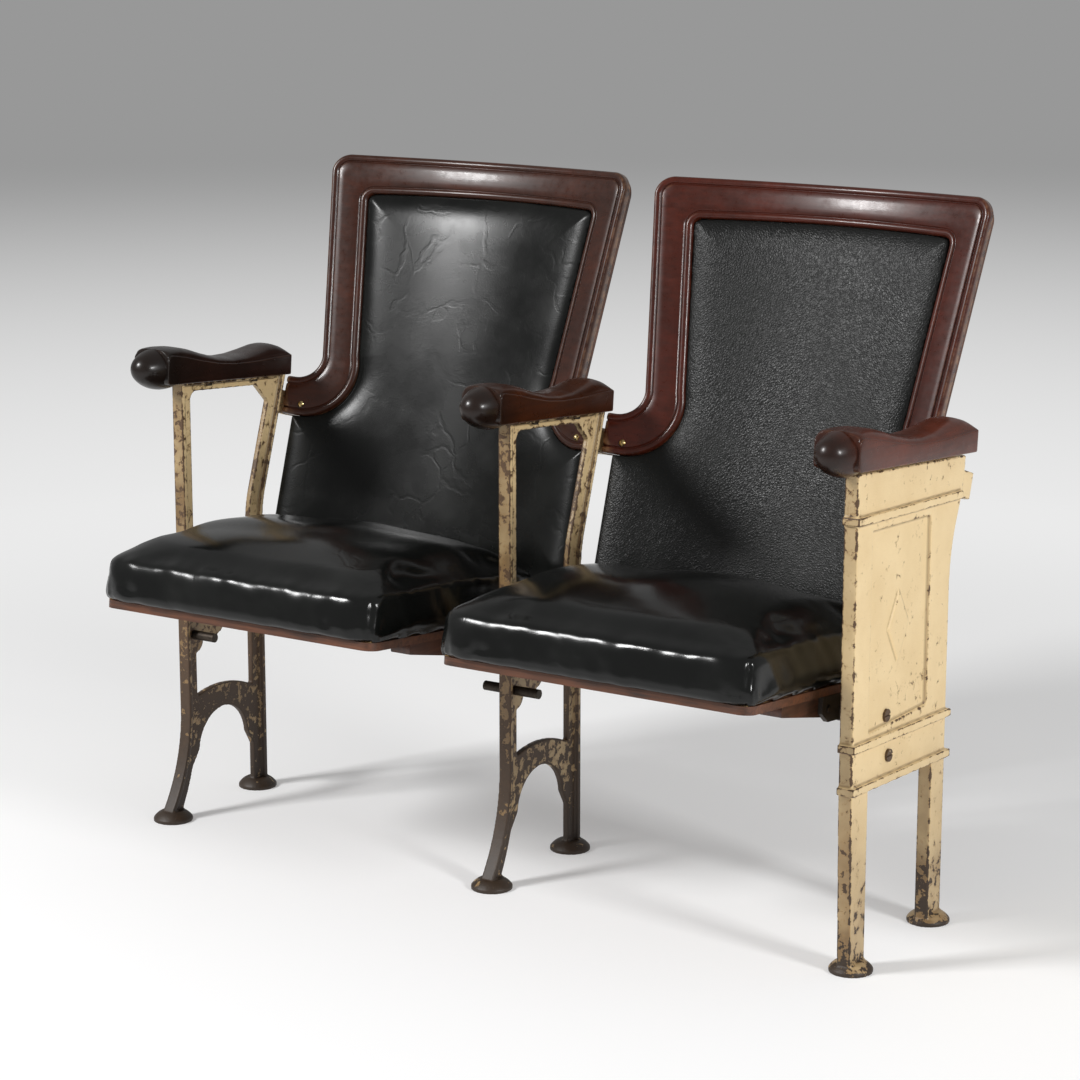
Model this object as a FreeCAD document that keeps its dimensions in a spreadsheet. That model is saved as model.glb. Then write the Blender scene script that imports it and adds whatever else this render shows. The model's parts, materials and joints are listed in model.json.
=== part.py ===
import FreeCAD, Part
import math
import os
import Sketcher

# A pair of tip up auditorium seats on three cast iron standards. Millimetres and degrees.
# X runs along the row, Y from front to rear, Z up. The seats face -Y. The floor is Z = 0.

Vector = FreeCAD.Vector
doc = FreeCAD.newDocument("auditorium_seat")
sheet = doc.addObject("Spreadsheet::Sheet", "size")


# Driving dimensions, one cell each, with the meaning of the cell beside it.
driving_sizes = {
    "seat_pitch": (508, "distance between the middles of two standards"),
    "depth_middle": (6.54, "middle of the depth, behind the datum that the outlines are drawn from"),
    # open standards
    "post_width": (17, "width of the T section's flange"),
    "web_thick": (8, "thickness of the T section's web"),
    "flange_deep": (7, "depth of the T section's flange"),
    "front_face": (74, "front post's face, ahead of the datum"),
    "front_inner": (52, "front post's rear edge, ahead of the datum"),
    "rear_inner": (66, "rear leg's front edge, behind the datum"),
    "rear_face": (90, "rear leg's rear edge, behind the datum"),
    "leg_sweep": (223, "radius of the front leg's outer sweep"),
    "leg_sweep_inner": (289, "radius of the front leg's inner sweep"),
    "leg_spring": (143, "height where the front leg starts to sweep"),
    "leg_spring_inner": (150, "height where its inner edge starts to sweep"),
    "post_bend": (394, "height where the rear post bends back"),
    "post_lean": (18.5, "lean of the rear post"),
    "bend_radius": (150, "radius of the rear post's bend"),
    "arch_radius": (52, "radius of the arch between the legs"),
    "arch_middle": (2, "middle of the arch, behind the datum"),
    "arch_height": (80, "height of the arch's centre"),
    "arch_spring": (5, "angle above level where the arch springs"),
    "arch_flare": (16, "fall of the flare from the arch to the legs"),
    "crest_radius": (168, "radius of the arch web's top edge"),
    "crest_front": (158, "height of the arch web's top at the front leg"),
    "crest_rear": (148, "height of the arch web's top at the rear leg"),
    "web_low": (250, "lower edge of the web at seat level"),
    "web_high": (340, "upper edge of the web at seat level"),
    "corbel_low": (218, "foot of the corbel at the front leg"),
    "corbel_step": (231.5, "step of the corbel"),
    "corbel_run": (60, "length of the corbel from the front leg"),
    "corbel_radius": (15, "radius of the corbel's hollow"),
    "open_head": (564.7, "upper edge of the arm opening on the datum"),
    "open_corner": (12, "corner radius of the arm opening"),
    "gusset": (25, "gusset in the rear corner of the arm opening"),
    "foot_radius": (26, "radius of a foot disc"),
    "foot_rim": (4, "rim of a foot disc"),
    "foot_high": (13, "height of a foot disc's dome"),
    "ankle_radius": (15, "radius of the foot's neck"),
    "front_foot": (104, "front foot's centre, ahead of the datum"),
    "rear_foot": (78, "rear foot's centre, behind the datum"),
    "head_thick": (5, "thickness of the head plate under the arm"),
    "head_width": (30, "width of the head plate"),
    # end standard
    "end_face": (146, "end standard's front face, ahead of the datum"),
    "end_front_leg": (42, "depth of its front leg"),
    "end_leg_taper": (6, "taper of its front leg"),
    "end_rear_leg": (36, "depth of its rear leg"),
    "end_rear_face": (96, "its rear edge, behind the datum"),
    "end_foot_front": (121, "its front foot's centre, ahead of the datum"),
    "end_foot_rear": (81, "its rear foot's centre, behind the datum"),
    "end_panel_low": (215, "underside of the panel between its legs"),
    "end_bend": (415, "height where its rear edge sweeps back"),
    "end_sweep": (190, "radius of that sweep"),
    "end_return": (200, "radius of the sweep's return"),
    "end_turn": (24.9, "lean of its rear edge at the middle of the sweep"),
    "end_turn_top": (5, "lean of its rear edge at the top"),
    "end_top_gap": (6.5, "height of the packing between panel and arm"),
    "recess_front": (106, "front of the panel's recess, ahead of the datum"),
    "recess_rear": (42, "rear of the recess, behind the datum"),
    "recess_low": (281, "lower edge of the recess"),
    "recess_high": (511, "upper edge of the recess on the datum"),
    "recess_deep": (4, "depth of the recess"),
    "back_deep": (9, "depth of the hollow on the panel's inner side"),
    "back_wall": (6, "width of the rim round that hollow"),
    "moulding_high": (9.5, "height of a moulding"),
    "moulding_out": (4.5, "how far a moulding stands out"),
    "moulding_fall": (3.1, "fall of the mouldings to the rear"),
    "moulding_drop": (60.4, "from the end arm's underside down to the upper moulding's lower edge"),
    "moulding_lower": (259, "lower moulding's lower edge on the datum"),
    "moulding_foot": (209, "foot moulding's lower edge on the datum"),
    "lozenge_high": (84, "height of the plain lozenge in the recess"),
    "lozenge_wide": (52, "width of the lozenge"),
    "lozenge_raise": (2.5, "height of the lozenge above the recess"),
    "lozenge_level": (392, "height of the lozenge's centre"),
    # arms
    "arm_width": (57, "width of an arm"),
    "arm_fall": (4.95, "fall of an arm to the rear"),
    "arm_level": (579, "underside of an open standard's arm on the datum"),
    "end_arm_level": (581.9, "underside of the end arm on the datum"),
    "arm_tip": (156, "tip of an open standard's arm, ahead of the datum"),
    "arm_rear": (134, "rear end of it, behind the datum"),
    "end_arm_tip": (216, "tip of the end arm, ahead of the datum"),
    "end_arm_rear": (120, "rear end of the end arm, behind the datum"),
    "arm_arris": (30, "front edge of the arm's flat side, behind the tip"),
    "arm_rear_high": (27.5, "height of the arm's rear end"),
    "arm_hump": (39.5, "height of the hump over the rear end"),
    "arm_hump_in": (14, "distance of the hump from the rear end"),
    "arm_valley": (28, "least height of the arm"),
    "arm_shoulder": (44.5, "height of the arm behind the knob"),
    "arm_cheek": (34, "height of the flat side at its front"),
    "arm_corner": (8, "corner radius of the flat side"),
    "arm_brow": (9.6, "radius of the arm's upper corner behind the knob"),
    "arm_heel": (18, "radius of the arm's rounded rear end"),
    "arm_round": (8, "rounding of the arm's upper edges"),
    "arm_screw_side": (10, "arm screws from the web's middle"),
    "arm_screw_front": (20, "front arm screw, ahead of the datum"),
    "arm_screw_rear": (76, "rear arm screw, behind the datum"),
    "arm_screw_long": (20, "length of an arm screw"),
    "knob_radius": (27.5, "radius of the knob"),
    "knob_half": (46, "half length of the knob"),
    "knob_axis": (19, "height of the knob's axis over the arm's underside"),
    "nose_radius": (20, "radius of the knob's nose"),
    # seat hinge
    "pivot_ahead": (57, "hinge axis, ahead of the datum"),
    "pivot_level": (291, "height of the hinge axis"),
    "pin_radius": (6, "radius of a pivot pin"),
    "run_gap": (0.05, "radial clearance of a running fit"),
    "face_gap": (0.5, "clearance between faces that pass each other"),
    "boss_radius": (19, "radius of a standard's pivot boss"),
    "boss_reach": (14, "half length of a standard's pivot boss"),
    "washer_thick": (2, "thickness of a hinge washer"),
    "washer_radius": (12, "radius of a hinge washer"),
    "bracket_boss": (15, "radius of a hinge bracket's boss"),
    "bracket_thick": (6, "thickness of a hinge bracket's plate"),
    "bracket_half": (56, "half length of a hinge bracket's plate"),
    "bracket_chamfer": (16, "chamfer of the plate's lower front corner"),
    "bracket_screw": (42, "bracket screws from the axis"),
    "bracket_screw_level": (5, "height of the bracket screws over the axis"),
    "bush_wall": (3, "wall of a hinge bush"),
    "tip_angle": (78, "travel of the seat from down to up"),
    "tail_length": (54, "length of the bracket's tail behind the axis"),
    "tail_top": (13, "top face of the tail over the axis"),
    "tail_thick": (14, "thickness of the tail along the axis"),
    "tail_stand": (8, "distance of the tail from the standard's boss"),
    "stud_radius": (6, "radius of a stop stud"),
    "stud_drop": (47, "stop stud below the hinge axis"),
    "stud_reach": (40, "reach of a stop stud from the standard's middle"),
    "stop_gap": (0.3, "gap between tail and stop at the end of travel"),
    "buffer_thick": (6, "thickness of a rubber buffer"),
    "buffer_front": (29, "front of a buffer, behind the axis"),
    "buffer_long": (20, "length of a buffer"),
    "lug_thick": (10, "thickness of the lug over a buffer"),
    "head_radius": (7.5, "radius of a slotted screw head"),
    "head_high": (3, "height of a slotted screw head"),
    "slot_wide": (1.8, "width of a screw slot"),
    # seat
    "seat_pitch_angle": (6, "rise of the seat to the front"),
    "rail_under": (20.5, "top of the rails over the hinge axis"),
    "rail_outer": (200, "outer face of a rail from the seat's middle"),
    "rail_wide": (28, "width of a rail"),
    "rail_front": (150, "front end of a rail, ahead of the axis"),
    "rail_tip": (14, "depth of a rail at its front end"),
    "rail_deep": (32, "depth of a rail at the axis"),
    "rail_rear": (60, "rear end of a rail, behind the axis"),
    "board_thick": (10, "thickness of the seat board"),
    "board_inset": (4, "seat board's edge inside the cushion's edge"),
    "board_screw_front": (157, "outer front board screws from the seat's middle"),
    "board_screw_rear": (126, "outer rear board screws from the seat's middle"),
    "cushion_half": (210, "half width of the cushion"),
    "cushion_front": (236, "front of the cushion, ahead of the axis"),
    "cushion_rear": (155, "rear of the cushion at the middle, behind the axis"),
    "cushion_bow": (30, "how far its rear corners lie ahead of its middle"),
    "cushion_corner": (16, "corner radius of the cushion in plan"),
    "cushion_side": (56, "height of the cushion's side up to its edge"),
    "cushion_crown": (47, "crown of the cushion over its edge"),
    "cushion_belly": (5, "bulge of the cushion's front and rear"),
    "crown_edge": (0.1, "crown at the cushion's sides, as a share of the full crown"),
    "shoulder_place": (0.92, "place of its shoulders, as a share of its half width"),
    "crown_shoulder": (0.42, "crown at the shoulders, as a share of the full crown"),
    "quarter_place": (0.52, "place between shoulder and middle, as a share of its half width"),
    "crown_quarter": (0.86, "crown there, as a share of the full crown"),
    "cover_thick": (2, "thickness of the vinyl cover"),
    "soft_gap": (0.3, "clearance between soft layers"),
    "frame_wall": (20, "width of the box frame's rails"),
    "frame_high": (27, "height of the box frame"),
    "frame_inset": (9, "box frame inside the cushion's edge"),
    "wire_radius": (1.8, "radius of the spring wire"),
    "spring_count": (5, "sinuous springs across the seat"),
    "spring_spacing": (72, "distance between two springs"),
    "spring_bend": (11, "radius of a spring's bends"),
    "spring_width": (44, "width of a spring"),
    # back
    "back_lean": (17.5, "lean of the back"),
    "back_radius": (648, "radius of the back's front face across its width"),
    "waste_depth": (162, "depth of the blocks that cut the back's curved faces"),
    "back_set": (208.6, "back's front face at its middle, behind the datum"),
    "back_level": (600, "height of the back's datum line"),
    "back_front_layer": (15, "thickness of the moulded frame"),
    "back_rear_layer": (9, "thickness of the plywood board"),
    "back_low_half": (204, "half width at the foot of the stiles"),
    "back_low": (-20, "foot of the stiles on the slope"),
    "back_top_half": (235, "half width at the top corners"),
    "back_top": (256, "top corners on the slope"),
    "back_crest": (264, "middle of the top edge on the slope"),
    "back_corner": (26, "radius of the top corners"),
    "rail_of_back": (50, "width of stiles and top rail"),
    "opening_corner": (10, "corner radius of the frame's opening"),
    "wing_gap": (11, "wing's end from the standard's middle"),
    "wing_top": (-54, "upper edge of a wing on the slope"),
    "wing_low": (-105.5, "lower edge of a wing on the slope"),
    "wing_sweep": (32, "radius from stile to wing"),
    "heel_wide": (62, "width of the wing's rounded heel"),
    "heel_high": (89.5, "height of the heel"),
    "heel_radius": (72, "radius of the heel"),
    "board_in": (3, "plywood board inside the frame's edge"),
    "panel_half": (231, "half width of the vinyl panel below the wings"),
    "panel_low": (-275, "lower edge of the vinyl panel on the slope"),
    "panel_corner": (24, "corner radius at the panel's foot"),
    "panel_gap": (0.8, "gap between panel and frame"),
    "panel_crown": (7, "crown of the panel over the frame's face"),
    "panel_sink": (4, "edge of the panel behind the frame's face"),
    # fixings of the back
    "ear_half": (16, "half height of an ear"),
    "ear_thick": (8, "thickness of an ear"),
    "ear_root": (54, "root of an ear's web, ahead of the back's datum line"),
    "ear_reach": (49, "reach of an ear from the standard's middle"),
    "end_ear_root": (70, "root of the end standard's ear, inside the panel's rear rim"),
    "bolt_in": (34, "back bolt from the standard's middle"),
    "bolt_slope": (-90, "back bolt on the slope"),
    "bolt_radius": (2.5, "radius of a back bolt"),
    "stud_head": (4.5, "radius of the bolt's domed head"),
    "stud_rise": (2.7, "height of that dome"),
    "nut_thick": (4, "thickness of a back bolt's nut"),
    "nut_radius": (5, "radius of the nut across its corners"),
    "back_washer_radius": (7, "radius of the washer under the nut"),
    "back_washer_thick": (1.2, "thickness of that washer"),
    "wood_screw": (2.2, "radius of a wood screw"),
    "wood_screw_head": (4.2, "radius of a wood screw's head"),
    "wood_screw_rise": (2.4, "height of a wood screw's head"),
}
for row, (alias, (number, meaning)) in enumerate(driving_sizes.items(), start=1):
    sheet.set("A%d" % row, meaning)
    sheet.set("B%d" % row, str(number))
    sheet.setAlias("B%d" % row, alias)
doc.recompute()


def number(expression):
    """The value of an expression written in the sheet's own names."""
    return float(sheet.evalExpression(expression.replace("size.", "")))


def new_body(label):
    body = doc.addObject("PartDesign::Body", "body_" + label)
    body.Label = label
    body.AllowCompound = True
    return body


def place(body, x="0", y="0", z="0", turn=None):
    """Puts a body at x, y, z, with y counted from the datum, and turns it about X."""
    if turn is not None:
        start = FreeCAD.Rotation(Vector(1, 0, 0), number(turn))
        body.Placement = FreeCAD.Placement(Vector(0, 0, 0), start)
        body.setExpression(".Placement.Rotation.Angle", turn)
    body.setExpression(".Placement.Base.x", x)
    body.setExpression(".Placement.Base.y", "%s - size.depth_middle" % y)
    body.setExpression(".Placement.Base.z", z)


def origin_plane(body, role):
    return next(part for part in body.Origin.OriginFeatures if part.Role == role)


def new_sketch(body, plane, name, along="0", across="0", lift="0"):
    """A sketch on an origin plane, moved by along and across in it and by lift out of it."""
    sketch = body.newObject("Sketcher::SketchObject", name)
    sketch.AttachmentSupport = [(origin_plane(body, plane), "")]
    sketch.MapMode = "FlatFace"
    for axis, shift in zip("xyz", (along, across, lift)):
        if shift != "0":
            sketch.setExpression(".AttachmentOffset.Base." + axis, shift)
    return sketch


def pin_point(sketch, edge, end, expressions, values):
    """Ties one end of an edge to the sheet by its distances from the sketch's origin."""
    for kind, expression, value in zip(("DistanceX", "DistanceY"), expressions, values):
        index = sketch.addConstraint(Sketcher.Constraint(kind, -1, 1, edge, end, value))
        sketch.setExpression("Constraints[%d]" % index, expression)


def draw(sketch, corners):
    """A closed outline. A corner is (x, y) or (x, y, radius), where the radius makes the
    edge to the next corner an arc: positive bulges to the right of the way it is drawn."""
    spots = [(number(corner[0]), number(corner[1])) for corner in corners]
    first = sketch.GeometryCount
    starts = []
    for i, corner in enumerate(corners):
        begin = Vector(*spots[i], 0)
        finish = Vector(*spots[(i + 1) % len(corners)], 0)
        if len(corner) == 2:
            sketch.addGeometry(Part.LineSegment(begin, finish), False)
            starts.append(1)
            continue
        radius = number(corner[2].lstrip("-"))
        bulge_left = corner[2].startswith("-")
        chord = finish - begin
        reach = (radius ** 2 - (chord.Length / 2) ** 2) ** 0.5
        left = Vector(-chord.y, chord.x, 0).normalize()
        centre = (begin + finish) * 0.5 + left * (-reach if bulge_left else reach)
        ends = (finish, begin) if bulge_left else (begin, finish)
        angles = [math.atan2(end.y - centre.y, end.x - centre.x) for end in ends]
        if angles[1] < angles[0]:
            angles[1] += 2 * math.pi
        circle = Part.Circle(centre, Vector(0, 0, 1), radius)
        sketch.addGeometry(Part.ArcOfCircle(circle, angles[0], angles[1]), False)
        starts.append(2 if bulge_left else 1)
    for i, corner in enumerate(corners):
        following = (i + 1) % len(corners)
        edge = first + i
        sketch.addConstraint(
            Sketcher.Constraint("Coincident", edge, 3 - starts[i], first + following, starts[following]))
        pin_point(sketch, edge, starts[i], corner[:2], spots[i])
        if len(corner) == 3:
            size_name = corner[2].lstrip("-")
            index = sketch.addConstraint(Sketcher.Constraint("Radius", edge, number(size_name)))
            sketch.setExpression("Constraints[%d]" % index, size_name)
    return sketch


def draw_circle(sketch, x, y, radius):
    spot = Vector(number(x), number(y), 0)
    edge = sketch.addGeometry(Part.Circle(spot, Vector(0, 0, 1), number(radius)), False)
    pin_point(sketch, edge, 3, (x, y), (spot.x, spot.y))
    index = sketch.addConstraint(Sketcher.Constraint("Radius", edge, number(radius)))
    sketch.setExpression("Constraints[%d]" % index, radius)
    return sketch


def negative(expression):
    return "-(%s)" % expression


def both_sides(half_outline):
    """Adds the mirror image in x to a half outline drawn upwards on the +x side."""
    mirrored = []
    count = len(half_outline)
    for i in range(count - 1, -1, -1):
        corner = [negative(half_outline[i][0]), half_outline[i][1]]
        if i > 0 and len(half_outline[i - 1]) == 3:
            corner.append(half_outline[i - 1][2])
        mirrored.append(tuple(corner))
    return list(half_outline) + mirrored


def feature(body, kind, sketch, name):
    made = body.newObject("PartDesign::" + kind, name)
    made.Profile = sketch
    sketch.Visibility = False
    return made


def pad(body, sketch, length, midplane=False, reverse=False):
    made = feature(body, "Pad", sketch, sketch.Name + "_pad")
    made.setExpression("Length", length)
    made.Midplane = midplane
    made.Reversed = reverse
    return made


def pocket(body, sketch, length=None, reverse=False):
    """Cuts through everything both ways, or to a depth against the sketch's normal."""
    made = feature(body, "Pocket", sketch, sketch.Name + "_pocket")
    if length is None:
        made.Type = "ThroughAll"
        made.Midplane = True
    else:
        made.setExpression("Length", length)
        made.Reversed = reverse
    return made


def turned(body, sketch, axis):
    made = feature(body, "Revolution", sketch, sketch.Name + "_turned")
    made.ReferenceAxis = (sketch, [axis])
    made.Angle = 360
    return made


def loft(body, kind, sketches, name, ruled=False):
    made = feature(body, kind, sketches[0], name)
    made.Sections = sketches[1:]
    made.Ruled = ruled
    return made


def fillet(body, radius, choose):
    """Rounds the edges of the body's tip that the rule picks."""
    doc.recompute()
    base = body.Tip
    edges = ["Edge%d" % (i + 1) for i, edge in enumerate(base.Shape.Edges) if choose(edge)]
    made = body.newObject("PartDesign::Fillet", base.Name + "_round")
    made.Base = (base, edges)
    made.setExpression("Radius", radius)
    return made


pivot_y = "(-size.pivot_ahead)"
fall = "tan(size.arm_fall)"
lean = "tan(size.post_lean)"


def underside(level, y):
    """Height of an arm's underside over the point y of the datum line."""
    return "(%s - (%s) * %s)" % (level, y, fall)


def post_edge(low_y, offset_z, z):
    """Place of a leaning edge of the rear post at the height z."""
    return "(%s + (%s - size.post_bend - %s) * %s)" % (low_y, z, offset_z, lean)


# Where a leaning edge meets the arm's underside.
def post_head_y(low_y, level):
    return "((%s + (%s - size.post_bend) * %s) / (1 + %s * %s))" % (low_y, level, lean, lean, fall)


def bend_corners(low_y, forwards):
    """The two ends of the rear post's bend on the edge that is at low_y below it."""
    tangent = "size.bend_radius * tan(size.post_lean / 2)"
    below = (low_y, "size.post_bend - %s" % tangent)
    above = ("%s + %s * sin(size.post_lean)" % (low_y, tangent),
             "size.post_bend + %s * cos(size.post_lean)" % tangent)
    if forwards:
        return [(below[0], below[1], "-size.bend_radius"), above]
    return [(above[0], above[1], "size.bend_radius"), below]


def foot(body, centre, name):
    """A domed foot disc, turned about its own upright axis."""
    sketch = new_sketch(body, "YZ_Plane", name, along=centre)
    draw(sketch, [
        ("0", "0"),
        ("size.foot_radius", "0"),
        ("size.foot_radius", "size.foot_rim", "size.foot_radius"),
        ("size.ankle_radius", "size.foot_high"),
        ("0", "size.foot_high"),
    ])
    turned(body, sketch, "V_Axis")


back_rear_radius = "size.back_radius + size.back_front_layer + size.back_rear_layer"


def rear_arc_y(x, extra="0"):
    """Depth of the back's rear face, in its own leaning frame, at x from the back's middle."""
    return "(sqrt((%s + %s)^2 - (%s)^2) - size.back_radius)" % (back_rear_radius, extra, x)


bolt_x = "(size.seat_pitch / 2 - size.bolt_in)"
ear_seat = rear_arc_y(bolt_x, "size.ear_thick")


def ears(body, sides, name, root="size.ear_root"):
    """Ears cast on the rear post, which carry the backs' wings and have a flat for each washer."""
    half = "size.seat_pitch / 2"
    # The sketch lies square to the back's slope, at the level of the bolts.
    sketch = body.newObject("Sketcher::SketchObject", name)
    sketch.AttachmentSupport = [(origin_plane(body, "XY_Plane"), "")]
    sketch.MapMode = "FlatFace"
    start = FreeCAD.Rotation(Vector(1, 0, 0), -number("size.back_lean"))
    sketch.AttachmentOffset = FreeCAD.Placement(Vector(0, 0, 0), start)
    sketch.setExpression(".AttachmentOffset.Rotation.Angle", "-size.back_lean")
    sketch.setExpression(".AttachmentOffset.Base.y",
                         "size.back_set + size.bolt_slope * sin(size.back_lean)")
    sketch.setExpression(".AttachmentOffset.Base.z",
                         "size.back_level + size.bolt_slope * cos(size.back_lean)")
    inner = "(%s - size.ear_reach)" % half
    outer = "(%s - size.wing_gap)" % half
    web = "(%s - size.web_thick / 2)" % half
    root = negative(root)
    right = [
        ("size.web_thick / 2", root),
        ("size.web_thick / 2", rear_arc_y(web)),
    ]
    if "right" in sides:
        right = [
            ("size.web_thick / 2", root),
            ("size.web_thick / 2", rear_arc_y(web), "-(%s)" % back_rear_radius),
            ("size.ear_reach", rear_arc_y(inner)),
            ("size.ear_reach", rear_arc_y(inner, "size.ear_thick"), back_rear_radius + " + size.ear_thick"),
            ("size.web_thick / 2", rear_arc_y(web, "size.ear_thick")),
        ]
    left = [
        ("-size.web_thick / 2", rear_arc_y(web, "size.ear_thick" if "left" in sides else "0")),
        ("-size.web_thick / 2", root),
    ]
    if "left" in sides:
        left = [
            ("-size.web_thick / 2", rear_arc_y(web, "size.ear_thick"),
             back_rear_radius + " + size.ear_thick"),
            ("-size.ear_reach", rear_arc_y(inner, "size.ear_thick")),
            ("-size.ear_reach", rear_arc_y(inner), "-(%s)" % back_rear_radius),
            ("-size.web_thick / 2", rear_arc_y(web)),
            ("-size.web_thick / 2", root),
        ]
    draw(sketch, right + left)
    pad(body, sketch, "2 * size.ear_half", midplane=True)
    cuts = (
        ("holes", "size.bolt_radius + size.run_gap", None),
        ("seats", "size.back_washer_radius + size.run_gap", "size.ear_thick"),
    )
    for word, radius, depth in cuts:
        cut = body.newObject("Sketcher::SketchObject", "%s_%s" % (name, word))
        cut.AttachmentSupport = [(origin_plane(body, "XZ_Plane"), "")]
        cut.MapMode = "FlatFace"
        cut.AttachmentOffset = FreeCAD.Placement(Vector(0, 0, 0), start)
        cut.setExpression(".AttachmentOffset.Rotation.Angle", "-size.back_lean")
        lift = ear_seat if depth else "0"
        cut.setExpression(".AttachmentOffset.Base.y", "size.back_level - %s * sin(size.back_lean)" % lift)
        cut.setExpression(".AttachmentOffset.Base.z", "-size.back_set - %s * cos(size.back_lean)" % lift)
        for side in sides:
            x = "size.bolt_in" if side == "right" else "-size.bolt_in"
            draw_circle(cut, x, "size.bolt_slope", radius)
        pocket(body, cut, depth)


def leg_y(face, spring, radius, z, extra="0"):
    """Depth of a swept edge of the front leg at the height z."""
    return "(sqrt((%s + %s)^2 - (%s - %s)^2) - %s - %s)" % (radius, extra, spring, z, face, radius)


def level_line(level, slope, y):
    return "(%s - (%s) * tan(%s))" % (level, y, slope)


def hinge_seat(body, label, sides):
    """The pivot's boss, the lugs over the rubber buffers and the bores of pin and stud."""
    both = len(sides) == 2
    only_left = sides == ("left",)
    inside = "size.web_thick / 2" if only_left else "0"
    boss = new_sketch(body, "YZ_Plane", label + "_boss", lift=inside)
    draw_circle(boss, pivot_y, "size.pivot_level", "size.boss_radius")
    lug = new_sketch(body, "YZ_Plane", label + "_lug", lift=inside)
    lug_low = "(size.pivot_level + size.tail_top + size.stop_gap + size.buffer_thick)"
    lug_front = "(size.buffer_front - size.pivot_ahead)"
    draw(lug, [
        (lug_front, lug_low),
        (lug_front + " + size.buffer_long", lug_low),
        (lug_front + " + size.buffer_long", lug_low + " + size.lug_thick"),
        (lug_front, lug_low + " + size.lug_thick"),
    ])
    for sketch, reach in ((boss, "size.boss_reach"), (lug, "size.stud_reach")):
        length = "2 * %s" % reach if both else "%s + %s" % (reach, inside)
        pad(body, sketch, length, midplane=both, reverse=only_left)
    bores = new_sketch(body, "YZ_Plane", label + "_bores")
    draw_circle(bores, pivot_y, "size.pivot_level", "size.pin_radius")
    draw_circle(bores, pivot_y, "size.pivot_level - size.stud_drop", "size.stud_radius / 2")
    pocket(body, bores)


def open_standard(label, x, sides):
    body = new_body(label)
    level = "size.arm_level"
    sole = "size.foot_rim"
    outer = lambda z, extra="0": leg_y("size.front_face", "size.leg_spring", "size.leg_sweep", z, extra)
    inner = lambda z: leg_y("size.front_inner", "size.leg_spring_inner", "size.leg_sweep_inner", z)
    flare = "(size.arch_height - size.arch_flare)"
    rise = "(size.arch_height + size.arch_radius * sin(size.arch_spring))"
    span = "(size.arch_radius * cos(size.arch_spring))"
    head = post_head_y("size.rear_face", level)
    web = new_sketch(body, "YZ_Plane", label + "_web")
    draw(web, [
        (outer(sole), sole),
        (inner(sole), sole, "size.leg_sweep_inner"),
        (inner(flare), flare),
        ("size.arch_middle - %s" % span, rise, "-size.arch_radius"),
        ("size.arch_middle + %s" % span, rise),
        ("size.rear_inner", flare),
        ("size.rear_inner", sole),
        ("size.rear_face", sole),
        *bend_corners("size.rear_face", True),
        (head, underside(level, head)),
        ("-size.front_face", underside(level, "-size.front_face")),
        ("-size.front_face", "size.leg_spring", "-size.leg_sweep"),
    ])
    head_line = lambda y: level_line("size.open_head", "size.arm_fall", y)
    gusset_z = "(%s - size.gusset)" % head_line("size.rear_face")
    gusset_y = post_edge("size.rear_inner", "0", gusset_z)
    round_y = "(size.open_corner - size.front_inner)"
    draw(web, [
        ("-size.front_inner", "size.web_high"),
        ("size.rear_inner", "size.web_high"),
        *bend_corners("size.rear_inner", True),
        (gusset_y, gusset_z),
        ("%s - size.gusset" % gusset_y, head_line("%s - size.gusset" % gusset_y)),
        (round_y, head_line(round_y), "size.open_corner"),
        ("-size.front_inner", head_line(round_y) + " - size.open_corner"),
    ])
    corbel_end = "(size.corbel_run - size.front_inner)"
    draw(web, [
        ("-size.front_inner", "size.crest_front", "-size.crest_radius"),
        ("size.rear_inner", "size.crest_rear"),
        ("size.rear_inner", "size.web_low"),
        (corbel_end, "size.web_low", "-size.corbel_radius"),
        (corbel_end + " - size.corbel_radius", "size.web_low - size.corbel_radius"),
        (corbel_end + " - size.corbel_radius", "size.corbel_step"),
        ("size.corbel_radius - size.front_inner", "size.corbel_step", "-size.corbel_radius"),
        ("-size.front_inner", "size.corbel_low"),
    ])
    pad(body, web, "size.web_thick", midplane=True)
    flange = new_sketch(body, "YZ_Plane", label + "_flange")
    face_in = "(size.flange_deep - size.front_face)"
    draw(flange, [
        (outer(sole), sole),
        (outer(sole, "size.flange_deep"), sole, "(size.leg_sweep + size.flange_deep)"),
        (face_in, "size.leg_spring"),
        (face_in, underside(level, face_in)),
        ("-size.front_face", underside(level, "-size.front_face")),
        ("-size.front_face", "size.leg_spring", "-size.leg_sweep"),
    ])
    rear_in = "(size.rear_face - size.flange_deep)"
    rear_head = post_head_y(rear_in, level)
    draw(flange, [
        (rear_in, sole),
        ("size.rear_face", sole),
        *bend_corners("size.rear_face", True),
        (head, underside(level, head)),
        (rear_head, underside(level, rear_head)),
        *bend_corners(rear_in, False),
    ])
    pad(body, flange, "size.post_width", midplane=True)
    plate = new_sketch(body, "YZ_Plane", label + "_plate")
    plate_rear = "(size.arm_rear - size.arm_corner)"
    draw(plate, [
        ("-size.front_face", underside(level, "-size.front_face") + " - size.head_thick"),
        (plate_rear, underside(level, plate_rear) + " - size.head_thick"),
        (plate_rear, underside(level, plate_rear)),
        ("-size.front_face", underside(level, "-size.front_face")),
    ])
    pad(body, plate, "size.head_width", midplane=True)
    foot(body, "-size.front_foot", label + "_front_foot")
    foot(body, "size.rear_foot", label + "_rear_foot")
    hinge_seat(body, label, sides)
    ears(body, sides, label + "_ears")
    screw_holes(body, label, level, "size.arm_screw_side")
    place(body, x=x)
    return body


def screw_holes(body, label, level, side):
    """Two holes for the arm's screws, bored up through the head plate."""
    holes = new_sketch(body, "XY_Plane", label + "_screw_holes", lift=level)
    hole = "size.wood_screw + size.face_gap"
    draw_circle(holes, side, "-size.arm_screw_front", hole)
    draw_circle(holes, side, "size.arm_screw_rear", hole)
    pocket(body, holes, length="size.arm_screw_long")
    return holes


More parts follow.
